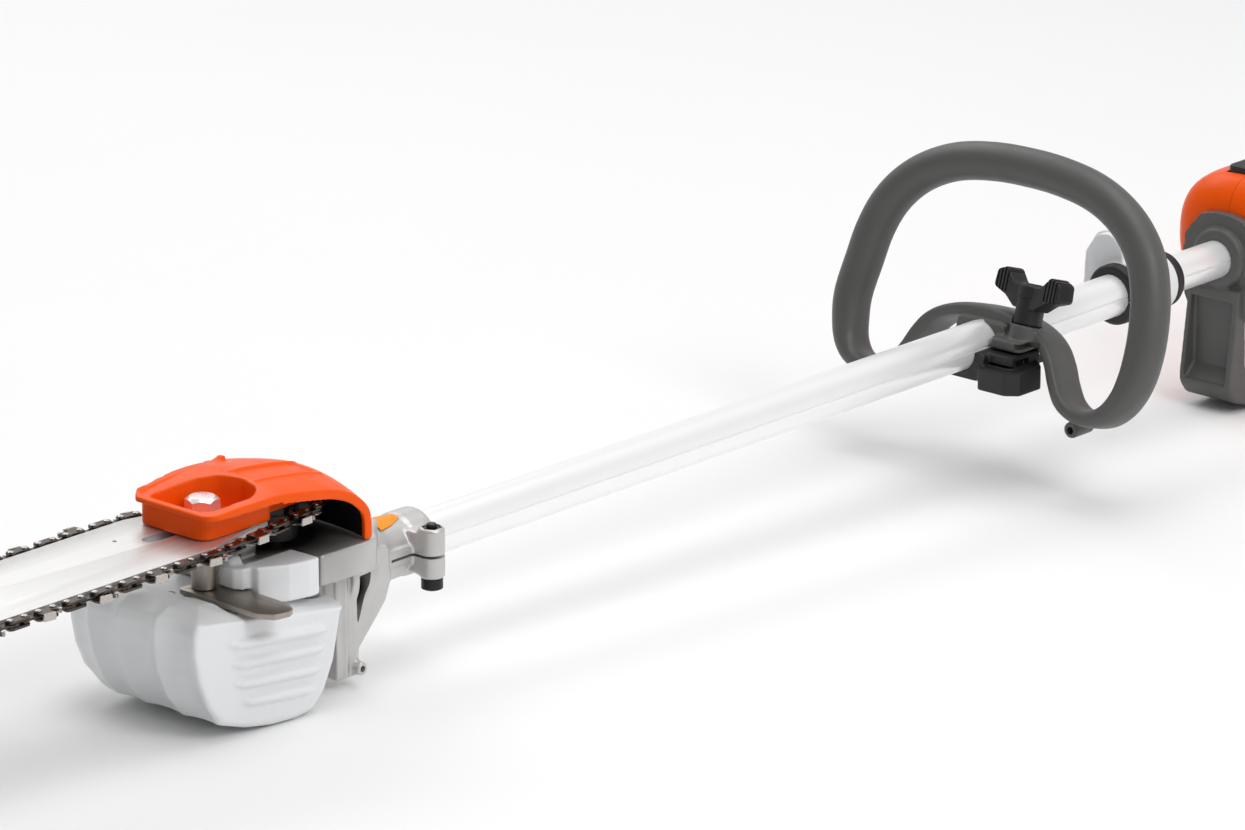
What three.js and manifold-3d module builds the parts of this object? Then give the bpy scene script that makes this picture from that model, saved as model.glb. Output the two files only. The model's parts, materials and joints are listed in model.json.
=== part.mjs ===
// Telescoping pole saw: a guide-bar head on a two-piece pole with a loop handle and a battery drive unit.
//
// Units are millimetres. Inside the model X runs along the pole towards the drive unit, Y to the user's
// left and Z up, with zero on the pole's axis just behind the head's clamp. The whole saw is then pitched
// by STANCE, so that the oil tank and the drive unit's foot rest on one level floor.
import * as THREE from 'three';
import { mergeVertices } from 'three/addons/utils/BufferGeometryUtils.js';
import Module from 'manifold-3d';

const wasm = await Module();
wasm.setup();

// ---------------------------------------------------------------- driving dimensions
const GAP = 0.3;                  // clearance between neighbouring pieces
const STANCE = 2.6 * Math.PI / 180; // pitch of the pole above the floor

const OUTER_TUBE = { r: 13, bore: 12.1, front: -57, rear: 606 };
const INNER_TUBE = { r: 11.8, bore: 10.5, front: 130, rear: 772 };
const FRONT_SHAFT = { flats: 7, front: -74, rear: 560 };
const REAR_SHAFT = { r: 6, socket: 7.8, front: 140, rear: 906 };

const HANDLE_X = 480;             // where the loop handle crosses the pole's axis
const HANDLE_LEAN = Math.atan(0.3); // rearward lean of the loop
const CLAMP_AXIS = { x: -11, y: -29 }; // where the clamp's bolt crosses the pole's level, from HANDLE_X
const LOCK_X = 592;               // front of the telescope lock
const DRIVE_X = 704;              // front face of the drive unit

const SPINDLE_X = -128;           // vertical spindle that carries the chain sprocket
const CHAIN_Z = 46.75;            // middle of the guide bar
const BAR = { thick: 4.5, half: 34, noseX: -456, tailX: -152, shoulderX: -205 };
const CHAIN = { height: 7.6, thick: 6.5, rootR: 21 };
const BOLT = { x: -180, r: 4 };   // bolt that holds the bar, the cover and the hook
const PLATE = { bottom: 9, top: 26 };

const PINION = { teeth: 12, at: 18, tip: 14, root: 9.5 };
const WHEEL = { teeth: 18, at: 12, tip: 21.2, root: 14.6 };
const MESH_FACE = 0.32;           // share of the cone distance that the teeth take up
const SPROCKET_TEETH = 7;
const NOSE_TEETH = 9;

const FLOOR = { tankX: -170, tankZ: -58 }; // a point of the floor line, under the pole
const TANK = { near: -41, far: 60, middle: [-172, -18], top: 8.4 };
const FILLER = { x: -185, z: -16 };      // the oil filler's axis, on the tank's far side
const floorAt = (x) => FLOOR.tankZ - Math.tan(STANCE) * (x - FLOOR.tankX);

// ---------------------------------------------------------------- finishes
const finish = (color, roughness, metalness = 0) =>
  new THREE.MeshStandardMaterial({ color, roughness, metalness });
const ORANGE = finish(0xf05010, 0.25);
const GREY = finish(0x55564f, 0.55);
const DARK = finish(0x2b2b2b, 0.6);
const WHITE = finish(0xe8eaec, 0.35);
const CASTING = finish(0xa39f9a, 0.45, 0.8);
const ALUMINIUM = finish(0xc8cace, 0.3, 1);
const STEEL = finish(0x9a9186, 0.35, 1);
const BRIGHT = finish(0xe4e4e6, 0.12, 1);
const BLACK_STEEL = finish(0x1e1e1e, 0.4, 0.8);
const COPPER = finish(0xb06a3a, 0.35, 1);
const BOARD = finish(0x1f5a38, 0.5);

// ---------------------------------------------------------------- solids
const SEGMENTS = 20;              // sides of an ordinary round piece
const TUBE_SIDES = 32;            // sides of the pole's tubes and of what grips them

/** A manifold solid from a closed three.js geometry. */
function solid(geometry) {
  geometry.deleteAttribute('normal');
  geometry.deleteAttribute('uv');
  const merged = mergeVertices(geometry, 1e-4);
  return new wasm.Manifold(new wasm.Mesh({
    numProp: 3,
    vertProperties: new Float32Array(merged.attributes.position.array),
    triVerts: new Uint32Array(merged.index.array),
  }));
}

const join = (first, ...others) => others.reduce((sum, piece) => sum.add(piece), first);
const cut = (first, ...others) => others.reduce((rest, piece) => rest.subtract(piece), first);

/** A three.js geometry from a manifold solid. */
function geometryOf(shape) {
  const mesh = shape.getMesh();
  const geometry = new THREE.BufferGeometry();
  geometry.setAttribute('position', new THREE.BufferAttribute(new Float32Array(mesh.vertProperties), 3));
  geometry.setIndex(new THREE.BufferAttribute(new Uint32Array(mesh.triVerts), 1));
  geometry.computeVertexNormals();
  return geometry;
}

const outline = (points) => new THREE.Shape(points.map(([u, v]) => new THREE.Vector2(u, v)));

/** An outline whose corners are rounded to radius r. */
function rounded(points, r) {
  const shape = new THREE.Shape();
  points.forEach(([u, v], i) => {
    const corner = new THREE.Vector2(u, v);
    const back = new THREE.Vector2(...points.at(i - 1)).sub(corner);
    const ahead = new THREE.Vector2(...points[(i + 1) % points.length]).sub(corner);
    const reach = Math.min(r, back.length() / 2.01, ahead.length() / 2.01);
    const start = back.setLength(reach).add(corner);
    const end = ahead.setLength(reach).add(corner);
    if (i === 0) shape.moveTo(start.x, start.y);
    else shape.lineTo(start.x, start.y);
    shape.quadraticCurveTo(u, v, end.x, end.y);
  });
  shape.closePath();
  return shape;
}

function circle(r, u = 0, v = 0) {
  const shape = new THREE.Shape();
  shape.absarc(u, v, r, 0, 2 * Math.PI, false);
  return shape;
}

const raw = (shape, depth, segments) =>
  new THREE.ExtrudeGeometry(shape, { depth, bevelEnabled: false, curveSegments: segments });

/** The outline in X and Y, from z0 up to z1. */
const alongZ = (shape, z0, z1, segments = 4) => solid(raw(shape, z1 - z0, segments).translate(0, 0, z0));

/** The outline in X and Z, from y0 to y1. */
const alongY = (shape, y0, y1, segments = 4) =>
  solid(raw(shape, y1 - y0, segments).translate(0, 0, -y1).rotateX(Math.PI / 2));

const TO_X = new THREE.Matrix4().makeBasis(
  new THREE.Vector3(0, 1, 0), new THREE.Vector3(0, 0, 1), new THREE.Vector3(1, 0, 0));

/** The outline in Y and Z, from x0 to x1. */
const alongX = (shape, x0, x1, segments = 4) =>
  solid(raw(shape, x1 - x0, segments).translate(0, 0, x0).applyMatrix4(TO_X));

const box = ([x0, x1], [y0, y1], [z0, z1]) => solid(
  new THREE.BoxGeometry(x1 - x0, y1 - y0, z1 - z0).translate((x0 + x1) / 2, (y0 + y1) / 2, (z0 + z1) / 2));

/** Round bars along each axis; r0 and r1 are the radii at the two ends. */
const rodX = (r, x0, x1, { y = 0, z = 0, r1 = r, n = SEGMENTS } = {}) => solid(
  new THREE.CylinderGeometry(r1, r, x1 - x0, n).rotateZ(-Math.PI / 2).translate((x0 + x1) / 2, y, z));
const rodY = (r, y0, y1, { x = 0, z = 0, r1 = r, n = SEGMENTS } = {}) => solid(
  new THREE.CylinderGeometry(r1, r, y1 - y0, n).translate(x, (y0 + y1) / 2, z));
const rodZ = (r, z0, z1, { x = 0, y = 0, r1 = r, n = SEGMENTS } = {}) => solid(
  new THREE.CylinderGeometry(r1, r, z1 - z0, n).rotateX(Math.PI / 2).translate(x, y, (z0 + z1) / 2));

/** A six-sided prism across flats, along Z. */
const hexZ = (flats, z0, z1, at = {}) => rodZ(flats / Math.sqrt(3), z0, z1, { ...at, n: 6 });
const hexX = (flats, x0, x1, at = {}) => rodX(flats / Math.sqrt(3), x0, x1, { ...at, n: 6 });

/** A toothed outline: tooth tips of half-angle tipHalf, gaps down to the root radius. */
function toothed(teeth, tip, root, tipHalf, rootHalf, phase = 0) {
  const points = [];
  for (let i = 0; i < teeth; i += 1) {
    const middle = phase + i * 2 * Math.PI / teeth;
    for (const [r, turn] of [[root, -rootHalf], [tip, -tipHalf], [tip, tipHalf], [root, rootHalf]]) {
      points.push([r * Math.cos(middle + turn), r * Math.sin(middle + turn)]);
    }
  }
  return outline(points);
}

/** Straight bevel teeth along Z: the outline at distance `at` from the cone's apex, narrowing towards it. */
function bevelTeeth({ teeth, at, tip, root }, phase) {
  const pitch = 2 * Math.PI / teeth;
  const depth = at * MESH_FACE;
  const geometry = raw(toothed(teeth, tip, root, 0.11 * pitch, 0.29 * pitch, phase), depth, 1);
  const position = geometry.attributes.position;
  for (let i = 0; i < position.count; i += 1) {
    const scale = (at - position.getZ(i)) / at;
    position.setXY(i, position.getX(i) * scale, position.getY(i) * scale);
  }
  return geometry;
}

/** A named mesh added to its group. */
function part(group, name, shape, material, place = [0, 0, 0]) {
  const mesh = new THREE.Mesh(geometryOf(shape), material);
  mesh.name = name;
  mesh.position.set(...place);
  group.add(mesh);
  return mesh;
}

function groupAt(parent, ...position) {
  const group = new THREE.Group();
  group.position.set(...position);
  parent.add(group);
  return group;
}

const radians = (degrees) => degrees * Math.PI / 180;

// ---------------------------------------------------------------- the pole and the drive line in it
function buildPole(saw) {
  part(saw, 'outer_tube', cut(
    rodX(OUTER_TUBE.r, OUTER_TUBE.front, OUTER_TUBE.rear, { n: TUBE_SIDES }),
    rodX(OUTER_TUBE.bore, OUTER_TUBE.front - 1, OUTER_TUBE.rear + 1, { n: TUBE_SIDES })), ALUMINIUM);
  part(saw, 'inner_tube', cut(
    rodX(INNER_TUBE.r, INNER_TUBE.front, INNER_TUBE.rear, { n: TUBE_SIDES }),
    rodX(INNER_TUBE.bore, INNER_TUBE.front - 1, INNER_TUBE.rear + 1, { n: TUBE_SIDES })), ALUMINIUM);

  part(saw, 'front_shaft', hexX(FRONT_SHAFT.flats, FRONT_SHAFT.front, FRONT_SHAFT.rear), STEEL);
  part(saw, 'rear_shaft', cut(
    rodX(REAR_SHAFT.r, REAR_SHAFT.front, REAR_SHAFT.rear, { n: 18 }),
    hexX(REAR_SHAFT.socket, REAR_SHAFT.front - 1, FRONT_SHAFT.rear + 20)), STEEL);
  part(saw, 'front_shaft_bush', cut(
    rodX(OUTER_TUBE.bore - GAP, 30, 48), rodX(FRONT_SHAFT.flats / 2 + 1.2, 29, 49)), WHITE);
  part(saw, 'rear_shaft_bush', cut(
    rodX(INNER_TUBE.bore - GAP, 150, 168), rodX(REAR_SHAFT.r + GAP, 149, 169)), WHITE);
}

// ---------------------------------------------------------------- the head's casting
function gearHousing() {
  const plate = alongZ(rounded([[-164, -16], [-130.6, -16], [-130, -37.4], [-96, -39], [-87, -36.4],
    [-80, -27], [-66, -17], [-66, 17], [-80, 29], [-100, 44], [-164, 40]], 3), PLATE.bottom, PLATE.top, 2);
  const barArm = alongZ(rounded([[-205, -12], [-150, -12], [-150, 12], [-205, 12]], 5), 30, 44.2, 2);
  const armRoot = box([-163, -152], [-11, 11], [PLATE.top - 1, 31]);
  const chamber = rodZ(26.5, -24, PLATE.bottom + 1, { x: SPINDLE_X, n: 24 });
  const chamberNeck = box([SPINDLE_X, -70], [-19, 19], [-20, PLATE.bottom + 1]);
  const cone = rodX(24, -84, -56, { r1: 17.4, n: TUBE_SIDES });
  const barrel = rodX(17.4, -58, -20, { n: TUBE_SIDES });

  const pinch = join(rodZ(7, -12, 15, { x: -34, y: -25 }), box([-41, -27], [-25, -12], [-10, 13]),
    box([-64, -30], [-18, -8], [-5, 5.4]));
  const pinchSlit = box([-58, 1], [-40, -11], [-0.8, 0.8]);
  const pinchHole = join(
    rodZ(3.3, -20, 20, { x: -34, y: -25, n: 12 }), rodZ(5.8, 11.4, 20, { x: -34, y: -25, n: 6 }));

  const ribOutline = outline([[-104, 9], [-64, 9], [-61.6, -8], [-66, -19], [-87, -41], [-87, -55],
    [-104, -55]]);
  ribOutline.holes.push(new THREE.Path([[-89.4, 1], [-88.2, -27], [-80.2, -5], [-79.6, 1]]
    .map(([u, v]) => new THREE.Vector2(u, v))));
  const ribs = [-22, 17].map((y) => alongY(ribOutline, y, y + 5));
  const backPlate = box([-104, -99], [-22, 22], [-55, 9]);
  const pinBoss = rodY(3.6, -26, -21, { x: -89.6, z: -50.4, n: 12 });

  const body = join(plate, barArm, armRoot, chamber, chamberNeck, cone, barrel, pinch,
    ...ribs, backPlate, pinBoss);
  return cut(body,
    rodX(OUTER_TUBE.r + GAP, -76, -19, { n: TUBE_SIDES }),
    rodX(15.5, SPINDLE_X + 6, -88),
    rodX(13, -89, -75, { n: 24 }),
    rodZ(27, -34, -24, { x: SPINDLE_X, n: 24 }),
    rodZ(23, -40, 6, { x: SPINDLE_X, n: 24 }),
    rodZ(11.3, 5, 17, { x: SPINDLE_X }),
    rodZ(6.5, 16, 27, { x: SPINDLE_X, n: 16 }),
    rodZ(BOLT.r + GAP, 29, 45, { x: BOLT.x, n: 16 }),
    box([-201, -190], [3.5, 11], [32, 45]),
    rodX(2.8, -206, -165, { y: 7.2, z: 36, n: 12 }),
    rodY(6.3, 10, 47, { x: -140, z: 17.5, n: 16 }),
    pinchSlit, pinchHole);
}

// ---------------------------------------------------------------- guide bar and chain
/** The chain's loop, or the bar's edge, offset outwards by `grow`. */
function loopOutline(grow, rootR) {
  const half = BAR.half + grow;
  const shape = new THREE.Shape();
  shape.absarc(BAR.noseX, 0, half, Math.PI / 2, 1.5 * Math.PI, false);
  shape.lineTo(BAR.shoulderX, -half);
  shape.absarc(SPINDLE_X, 0, rootR, radians(-88), radians(88), false);
  shape.lineTo(BAR.shoulderX, half);
  shape.closePath();
  return shape;
}

function guideBar() {
  const edge = new THREE.Shape();
  edge.absarc(BAR.noseX, 0, BAR.half, Math.PI / 2, 1.5 * Math.PI, false);
  edge.lineTo(BAR.shoulderX, -BAR.half);
  edge.lineTo(BAR.tailX, -20);
  edge.quadraticCurveTo(BAR.tailX + 3, 0, BAR.tailX, 20);
  edge.lineTo(BAR.shoulderX, BAR.half);
  edge.closePath();
  const low = CHAIN_Z - BAR.thick / 2;
  const high = CHAIN_Z + BAR.thick / 2;
  const boltSlot = rounded([[-222, -4.4], [-168, -4.4], [-168, 4.4], [-222, 4.4]], 4);
  const noseSlot = cut(
    rodZ(BAR.half + 5, CHAIN_Z - 0.9, CHAIN_Z + 0.9, { x: BAR.noseX, n: 32 }),
    box([BAR.noseX + BAR.half - 2, BAR.noseX + 60], [-50, 50], [40, 55]),
    rodZ(4, 40, 55, { x: BAR.noseX, n: 12 }));
  return cut(
    alongZ(edge, low, high, 14), alongZ(boltSlot, low - 1, high + 1, 3),
    rodZ(2.6, low - 1, high + 1, { x: -195, y: 8.2, n: 12 }), noseSlot);
}

function sawChain() {
  const low = CHAIN_Z - CHAIN.thick / 2;
  const belt = loopOutline(CHAIN.height + GAP, CHAIN.rootR + CHAIN.height);
  belt.holes.push(loopOutline(GAP, CHAIN.rootR));
  return alongZ(belt, low, low + CHAIN.thick, 14);
}

function buildCutting(head) {
  part(head, 'guide_bar', guideBar(), BRIGHT);
  part(head, 'saw_chain', sawChain(), BLACK_STEEL);
  const star = alongZ(toothed(NOSE_TEETH, BAR.half - 3.5, BAR.half - 9, radians(4), radians(13)), -0.6, 0.6);
  part(head, 'nose_sprocket', cut(star, rodZ(4.3, -1, 1, { n: 12 })), STEEL, [BAR.noseX, 0, CHAIN_Z]);

  const teeth = alongZ(toothed(SPROCKET_TEETH, 19.8, 13.5, radians(6), radians(13)), 43.5, 50);
  const flange = rodZ(13, 28.5, 43.6, { r1: 11 });
  part(head, 'drive_sprocket', cut(
    join(teeth, flange), rodZ(5.3, 28, 51, { n: 16 })), STEEL, [SPINDLE_X, 0, 0]);
  part(head, 'spindle', join(
    rodZ(5, -26, 52, { n: 16 }), rodZ(6.2, -8, 4.6, { n: 16 })), STEEL, [SPINDLE_X, 0, 0]);
}

// ---------------------------------------------------------------- bevel drive
function buildBevelDrive(head) {
  const wheelTeeth = solid(bevelTeeth(WHEEL, Math.PI / WHEEL.teeth)).translate([0, 0, -WHEEL.at]);
  const wheelBack = rodZ(WHEEL.root - 0.5, -17, -WHEEL.at + 0.5);
  part(head, 'bevel_wheel', cut(
    join(wheelTeeth, wheelBack, rodZ(8.5, -19.5, -16)), rodZ(5.3, -20, 0, { n: 16 }),
    rodZ(6.6, -9, 0, { n: 16 })), STEEL, [SPINDLE_X, 0, 0]);

  // A tooth of the pinion points down into a gap of the wheel.
  const pinionTeeth = solid(bevelTeeth(PINION, 0).rotateY(-Math.PI / 2).translate(PINION.at, 0, 0));
  const hub = rodX(8.6, PINION.at - 0.6, 26.5);
  part(head, 'bevel_pinion', cut(
    join(pinionTeeth, hub), hexX(FRONT_SHAFT.flats + 0.6, 9, 30)), STEEL, [SPINDLE_X, 0, 0]);

  const ring = (outer, inner, z0, z1) => cut(rodZ(outer, z0, z1), rodZ(inner, z0 - 1, z1 + 1, { n: 16 }));
  part(head, 'upper_bearing', ring(11, 5.3, 5.2, 12.2), BRIGHT, [SPINDLE_X, 0, 0]);
  part(head, 'lower_bearing', ring(9.2, 5.3, -26.5, -20.2), BRIGHT, [SPINDLE_X, 0, 0]);
  part(head, 'pinion_bearing', cut(
    rodX(12.7, -87.5, -79.5), rodX(4.6, -89, -78, { n: 16 })), BRIGHT);
  part(head, 'gear_cover', cut(
    join(rodZ(26.5, -30, -24.3, { n: 24 }), rodZ(14, -33, -29)),
    rodZ(9.5, -27, -20)), CASTING, [SPINDLE_X, 0, 0]);
}

// ---------------------------------------------------------------- cover, bolt and hook
// The cover's roof as [x, z] runs from front to rear: along its middle and along its two long edges.
const ROOF_MIDDLE = [[-208, 65.4], [-172, 69], [-155, 70.3], [-137, 68.9], [-123, 67], [-107, 63.2],
  [-97, 57], [-91, 50.5], [-87, 38], [-86.5, 26.6]];
const ROOF_EDGE = [[-208, 65.4], [-172, 66.9], [-148, 65.4], [-133, 62.8], [-118.5, 59.8], [-106, 54.7],
  [-98.5, 49.3], [-92.5, 41], [-91.4, 33], [-91.4, 26.6]];

/** All that lies under the cover's roof between two sides, with the roof drawn in by `wall`. */
function underRoof(wall, near, far) {
  const stations = [[near, 1, 0], [near / 2, 0.3, 0], [2, 0, 0], [far * 0.55, 0.4, 0], [far - 4, 0.9, 1],
    [far, 1, 6]];
  const points = stations.flatMap(([y, share, drop]) => ROOF_MIDDLE.map(([x, z], i) => {
    const [u, v] = ROOF_EDGE[i];
    const rearward = Math.min(1, Math.max(0, (x + 120) / 30));
    return [x + (u - x) * share - (wall + drop / 3) * rearward, y, z + (v - z) * share - wall - drop];
  }).concat([[-208, y, 20], [-91.4 - wall, y, 20]]));
  return wasm.Manifold.hull(points);
}

function chainCover() {
  const boxFloor = 49.4;
  const plan = rounded([[-208, -34.5], [-172, -36.6], [-80, -37], [-80, 45], [-141, 45], [-141, 31.6],
    [-200, 29], [-208, 21]], 8);
  const roof = cut(underRoof(0, -37, 45).intersect(alongZ(plan, 20, 90, 2)),
    box([-230, -157], [-60, 60], [0, 62.6]), box([-230, -60], [-60, 60], [0, 26.6]));
  const room = underRoof(3.4, -37.5, 42).intersect(box([-157.5, -60], [-60, 60], [0, 90]));
  const lowerPlan = rounded([[-204, -25.6], [-153.8, -25.6], [-153.8, 24], [-204, 24]], 7);
  const lower = alongZ(lowerPlan, boxFloor, 64, 3);
  const ribSide = outline([[-206, 62], [-136, 62], [-135, 70], [-137.6, 70.8], [-141, 68.8], [-206, 66.8]]
    .reverse());
  const farRib = alongY(ribSide, 27.6, 31.6).intersect(alongZ(plan, 20, 90, 2));
  const pocket = alongZ(rounded([[-204, -22], [-197, -28], [-172, -29], [-162, -20], [-161, -6], [-170, 10],
    [-204, 17]], 6), 53, 90, 2);
  return cut(join(cut(roof, room), lower, farRib), pocket, rodZ(BOLT.r + GAP, 48, 54, { x: BOLT.x, n: 16 }));
}

function buildCover(head) {
  part(head, 'chain_cover', chainCover(), ORANGE);
  part(head, 'bar_bolt', join(
    hexZ(11, 4, 9.7), rodZ(BOLT.r, 9, 60, { n: 16 })), BLACK_STEEL, [BOLT.x, 0, 0]);
  part(head, 'bar_nut', cut(
    join(hexZ(16.4, 54.5, 63.6), rodZ(9.6, 53.3, 55)), rodZ(BOLT.r + GAP, 53, 60.6, { n: 16 })),
    BRIGHT, [BOLT.x, 0, 0]);
  part(head, 'hook_spacer', cut(
    rodZ(6.5, 13.3, 29.7), rodZ(BOLT.r + GAP, 13, 30, { n: 16 })), STEEL, [BOLT.x, 0, 0]);
  const hook = rounded([[-190, 11], [-170, 11], [-166.3, -14], [-167, -54], [-176, -60], [-186, -58],
    [-191, -48]], 5);
  part(head, 'hook_plate', cut(
    alongZ(hook, 10, 13, 3), rodZ(BOLT.r + GAP, 9, 14, { x: BOLT.x, n: 16 })), STEEL);

  part(head, 'tension_screw', join(
    rodX(2.4, -203, -167, { n: 12 }), rodX(4.2, -209, -205.4, { n: 12 }),
    rodX(2.4, -206, -202, { n: 12 })), BLACK_STEEL, [0, 7.2, 36]);
  part(head, 'tension_pin', cut(
    join(box([-199, -192], [3.9, 10.6], [32.4, 40.5]), rodZ(2.2, 40, 49, { x: -195, y: 8.2, n: 12 })),
    rodX(2.8, -210, -180, { y: 7.2, z: 36, n: 12 })), STEEL);
}

// ---------------------------------------------------------------- clamp screws, pump and tank
function buildHeadFittings(head) {
  part(head, 'pinch_screw', join(
    rodZ(6, -19.4, -13.2, { n: 16 }), rodZ(2.9, -13.5, 17.4, { n: 12 })), BLACK_STEEL, [-34, -25, 0]);
  part(head, 'pinch_nut', cut(
    hexZ(9.6, 11.5, 15), rodZ(3.2, 11, 16, { n: 12 })), BLACK_STEEL, [-34, -25, 0]);
  part(head, 'oil_pump', join(
    rodY(6, 14, 41, { n: 16 }), rodY(7.5, 46.4, 49, { n: 16 }), rodY(4, 40, 47, { n: 12 })),
    BLACK_STEEL, [-140, 0, 17.5]);
}

// The tank's outline as seen from the side, [x, z], without the step in its top.
const TANK_SIDE = [[-219, 15.8], [-226.6, 12], [-229, 6], [-229.4, -3], [-226.4, -19], [-219.8, -35],
  [-209, -47.3], [-188, -54], [-172, floorAt(-172)], [-148, floorAt(-148)], [-141.4, -57.2], [-134, -50],
  [-126.4, -34], [-121.4, -5], [-117.6, 3], [-117.6, 8.4], [-193, 12.4], [-200, 14.6], [-209, 16.2]];
const TANK_RIDGES = [-41, -12, 16.4, 37, 53]; // the front's ridges, with a shallow hollow between each two

function tankBody() {
  const [midX, midZ] = TANK.middle;
  const stations = [[TANK.near, 4.6], [TANK.near + 2, 1], [TANK.near + 5, 0], [TANK.far - 14, 0],
    [TANK.far - 8, 3], [TANK.far - 3, 8], [TANK.far, 15]];
  const points = stations.flatMap(([y, shrink]) => TANK_SIDE.map(([x, z]) => [
    midX + (x - midX) * (1 - shrink / 57), y, midZ + (z - midZ) * (1 - shrink / 40)]));
  const hollows = TANK_RIDGES.slice(1).map((high, i) => {
    const width = high - TANK_RIDGES[i];
    const r = 1.03 * width;
    return rodZ(r, -34, 40, { x: -229.4 + 0.13 * width - r, y: high - width / 2, n: 40 });
  });
  const step = box([-192.8, -100], [-70, 80], [TANK.top, 60]);
  return cut(wasm.Manifold.hull(points), step, ...hollows);
}

function oilTank() {
  const shoulder = wasm.Manifold.hull([[-236, 14.3, 26], [-110, -5.8, 13]].flatMap(([x, seam, rise]) => [
    [x, -50, seam], [x, -40.3, seam], [x, 10, seam + rise], [x, 10, 60], [x, -50, 60]]));
  const ribs = [[[-202, -3.6], [-131.5, -12.6]], [[-200.6, -14.8], [-133.9, -22.6]],
    [[-199, -26], [-136.4, -33.4]], [[-193, -37.2], [-141, -43.4]]].map((ends) => wasm.Manifold.hull(
    ends.flatMap(([x, z]) => [[x, -38, z + 2.6], [x, -38, z - 2.6], [x, TANK.near - 1.6, z + 1],
      [x, TANK.near - 1.6, z - 1]])));
  const ledge = rounded([[-165.7, -16.4], [-165.7, -25], [-151, -34], [-139, -37], [-131, -37],
    [-131, -16.4]], 2);
  const chamberRoom = join(
    rodZ(29, -36, 20, { x: SPINDLE_X, n: 24 }), box([SPINDLE_X, -100], [-26, 26], [-36, 20]));
  return cut(join(cut(tankBody(), shoulder), ...ribs, alongZ(ledge, TANK.top - 3, PLATE.top, 2),
    box([-173, -164.4], [-20, -2], [13.4, PLATE.top - 1])),
    chamberRoom, rodY(8, TANK.far - 12, TANK.far + 3, { ...FILLER, n: 16 }),
    rodZ(9, 3.4, 12, { x: BOLT.x, n: 16 }), box([-192.3, -164.8], [-62, 12], [9.2, 13.4]));
}

function buildTank(head) {
  part(head, 'oil_tank', oilTank(), WHITE);
  const grips = solid(raw(toothed(16, 14, 12.8, radians(6), radians(8)), 8.7, 4).rotateX(-Math.PI / 2)
    .translate(0, TANK.far + 0.8, 0));
  part(head, 'oil_cap', join(
    grips, rodY(7.6, TANK.far - 8, TANK.far + 5, { n: 16 }),
    box([-10, 10], [TANK.far + 8, TANK.far + 12], [-1.5, 1.5])), DARK, [FILLER.x, 0, FILLER.z]);
}

// ---------------------------------------------------------------- loop handle
const LEAN = new THREE.Matrix4().makeShear(0, 0, 0, 0, Math.tan(HANDLE_LEAN), 0);

/** The points and their mirror images in Y, as one run from the right side to the left. */
const mirrored = (points) => [...points, ...points.toReversed()
  .filter(([y]) => y !== 0).map(([y, z]) => [-y, z])];

function loopGrip() {
  const side = [[-97, -24], [-105, -10], [-109, 10], [-104, 45], [-84, 76], [-50, 93], [0, 98]];
  const route = new THREE.CatmullRomCurve3(mirrored(side).map(([y, z]) => new THREE.Vector3(0, y, z)));
  return solid(new THREE.ExtrudeGeometry(circle(12.2), { steps: 34, bevelEnabled: false,
    curveSegments: 5, extrudePath: route }).applyMatrix4(LEAN));
}

/** The flat strap that arches over the pole and turns up into the grip at both ends. */
function loopStrap() {
  const above = [[-106, -28], [-92, -23], [-82, -27.5], [-70, -27], [-62, -21], [-57, -12], [-52, -2],
    [-44, 6], [-32, 12], [-16, 16], [0, 17.3]];
  const below = [[-104, -33], [-92, -38], [-76, -38], [-63, -35], [-55, -28], [-50, -18], [-45, -8],
    [-38, 0], [-29, 5], [-16, 8], [0, 9.3]];
  const strap = outline([...mirrored(above).reverse(), ...mirrored(below)]);
  return solid(raw(strap, 28, 1).translate(0, 0, -14).applyMatrix4(TO_X).applyMatrix4(LEAN));
}

/** A round bar along the clamp's leaning axis, from s0 to s1 above the pole's level. */
const clampRod = (r, s0, s1, n = SEGMENTS) => solid(
  new THREE.CylinderGeometry(r, r, s1 - s0, n).rotateX(Math.PI / 2).translate(0, 0, (s0 + s1) / 2)
    .rotateY(HANDLE_LEAN).translate(CLAMP_AXIS.x, CLAMP_AXIS.y, 0));

function buildLoopHandle(saw) {
  const handle = groupAt(saw, HANDLE_X, 0, 0);
  part(handle, 'loop_handle', cut(
    join(loopGrip(), loopStrap(), rodX(5, -15, 2, { y: -70, z: -41, n: 12 }),
      box([-15, 12], [-22, 22], [1, 14.5]), box([-24, 8], [-38, -14], [1, 9.5])),
    rodX(OUTER_TUBE.r + GAP, -36, 40, { n: TUBE_SIDES }),
    clampRod(10.7, 14.6, 60), clampRod(4.3, -30, 40, 12)), GREY);
  part(handle, 'lower_clamp', cut(
    join(box([-36, 6], [-22, 22], [-17.5, 0.4]), box([-30, 4], [-36.5, -14], [-9, 0.4]),
      alongZ(rounded([[-37, -44], [-9, -44], [-9, -16], [-37, -16]], 5), -21, -8, 2)),
    rodX(OUTER_TUBE.r + GAP, -40, 30, { n: TUBE_SIDES }),
    clampRod(4.3, -40, 20, 12), clampRod(13.6 / Math.sqrt(3), -40, -13, 6)), GREY);

  const clamp = groupAt(handle, CLAMP_AXIS.x, CLAMP_AXIS.y, 0);
  clamp.rotation.y = HANDLE_LEAN;
  part(clamp, 'clamp_bolt', join(hexZ(13, -21, -13.3), rodZ(4, -14, 30, { n: 12 })), STEEL);
  const wing = rounded([[-30, 32], [-18, 29], [-10, 24], [10, 24], [18, 29], [30, 32], [29, 43], [20, 46],
    [12, 38.5], [-12, 38.5], [-20, 46], [-29, 43]], 3);
  const knob = part(clamp, 'clamp_knob', cut(
    join(alongY(wing, -6.5, 6.5, 3), rodZ(9, 15, 38.5)),
    rodZ(4.3, 10, 34, { n: 12 }), rodZ(5.5, 33.5, 50, { n: 12 })), DARK);
  knob.rotation.z = radians(75);
}

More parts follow.
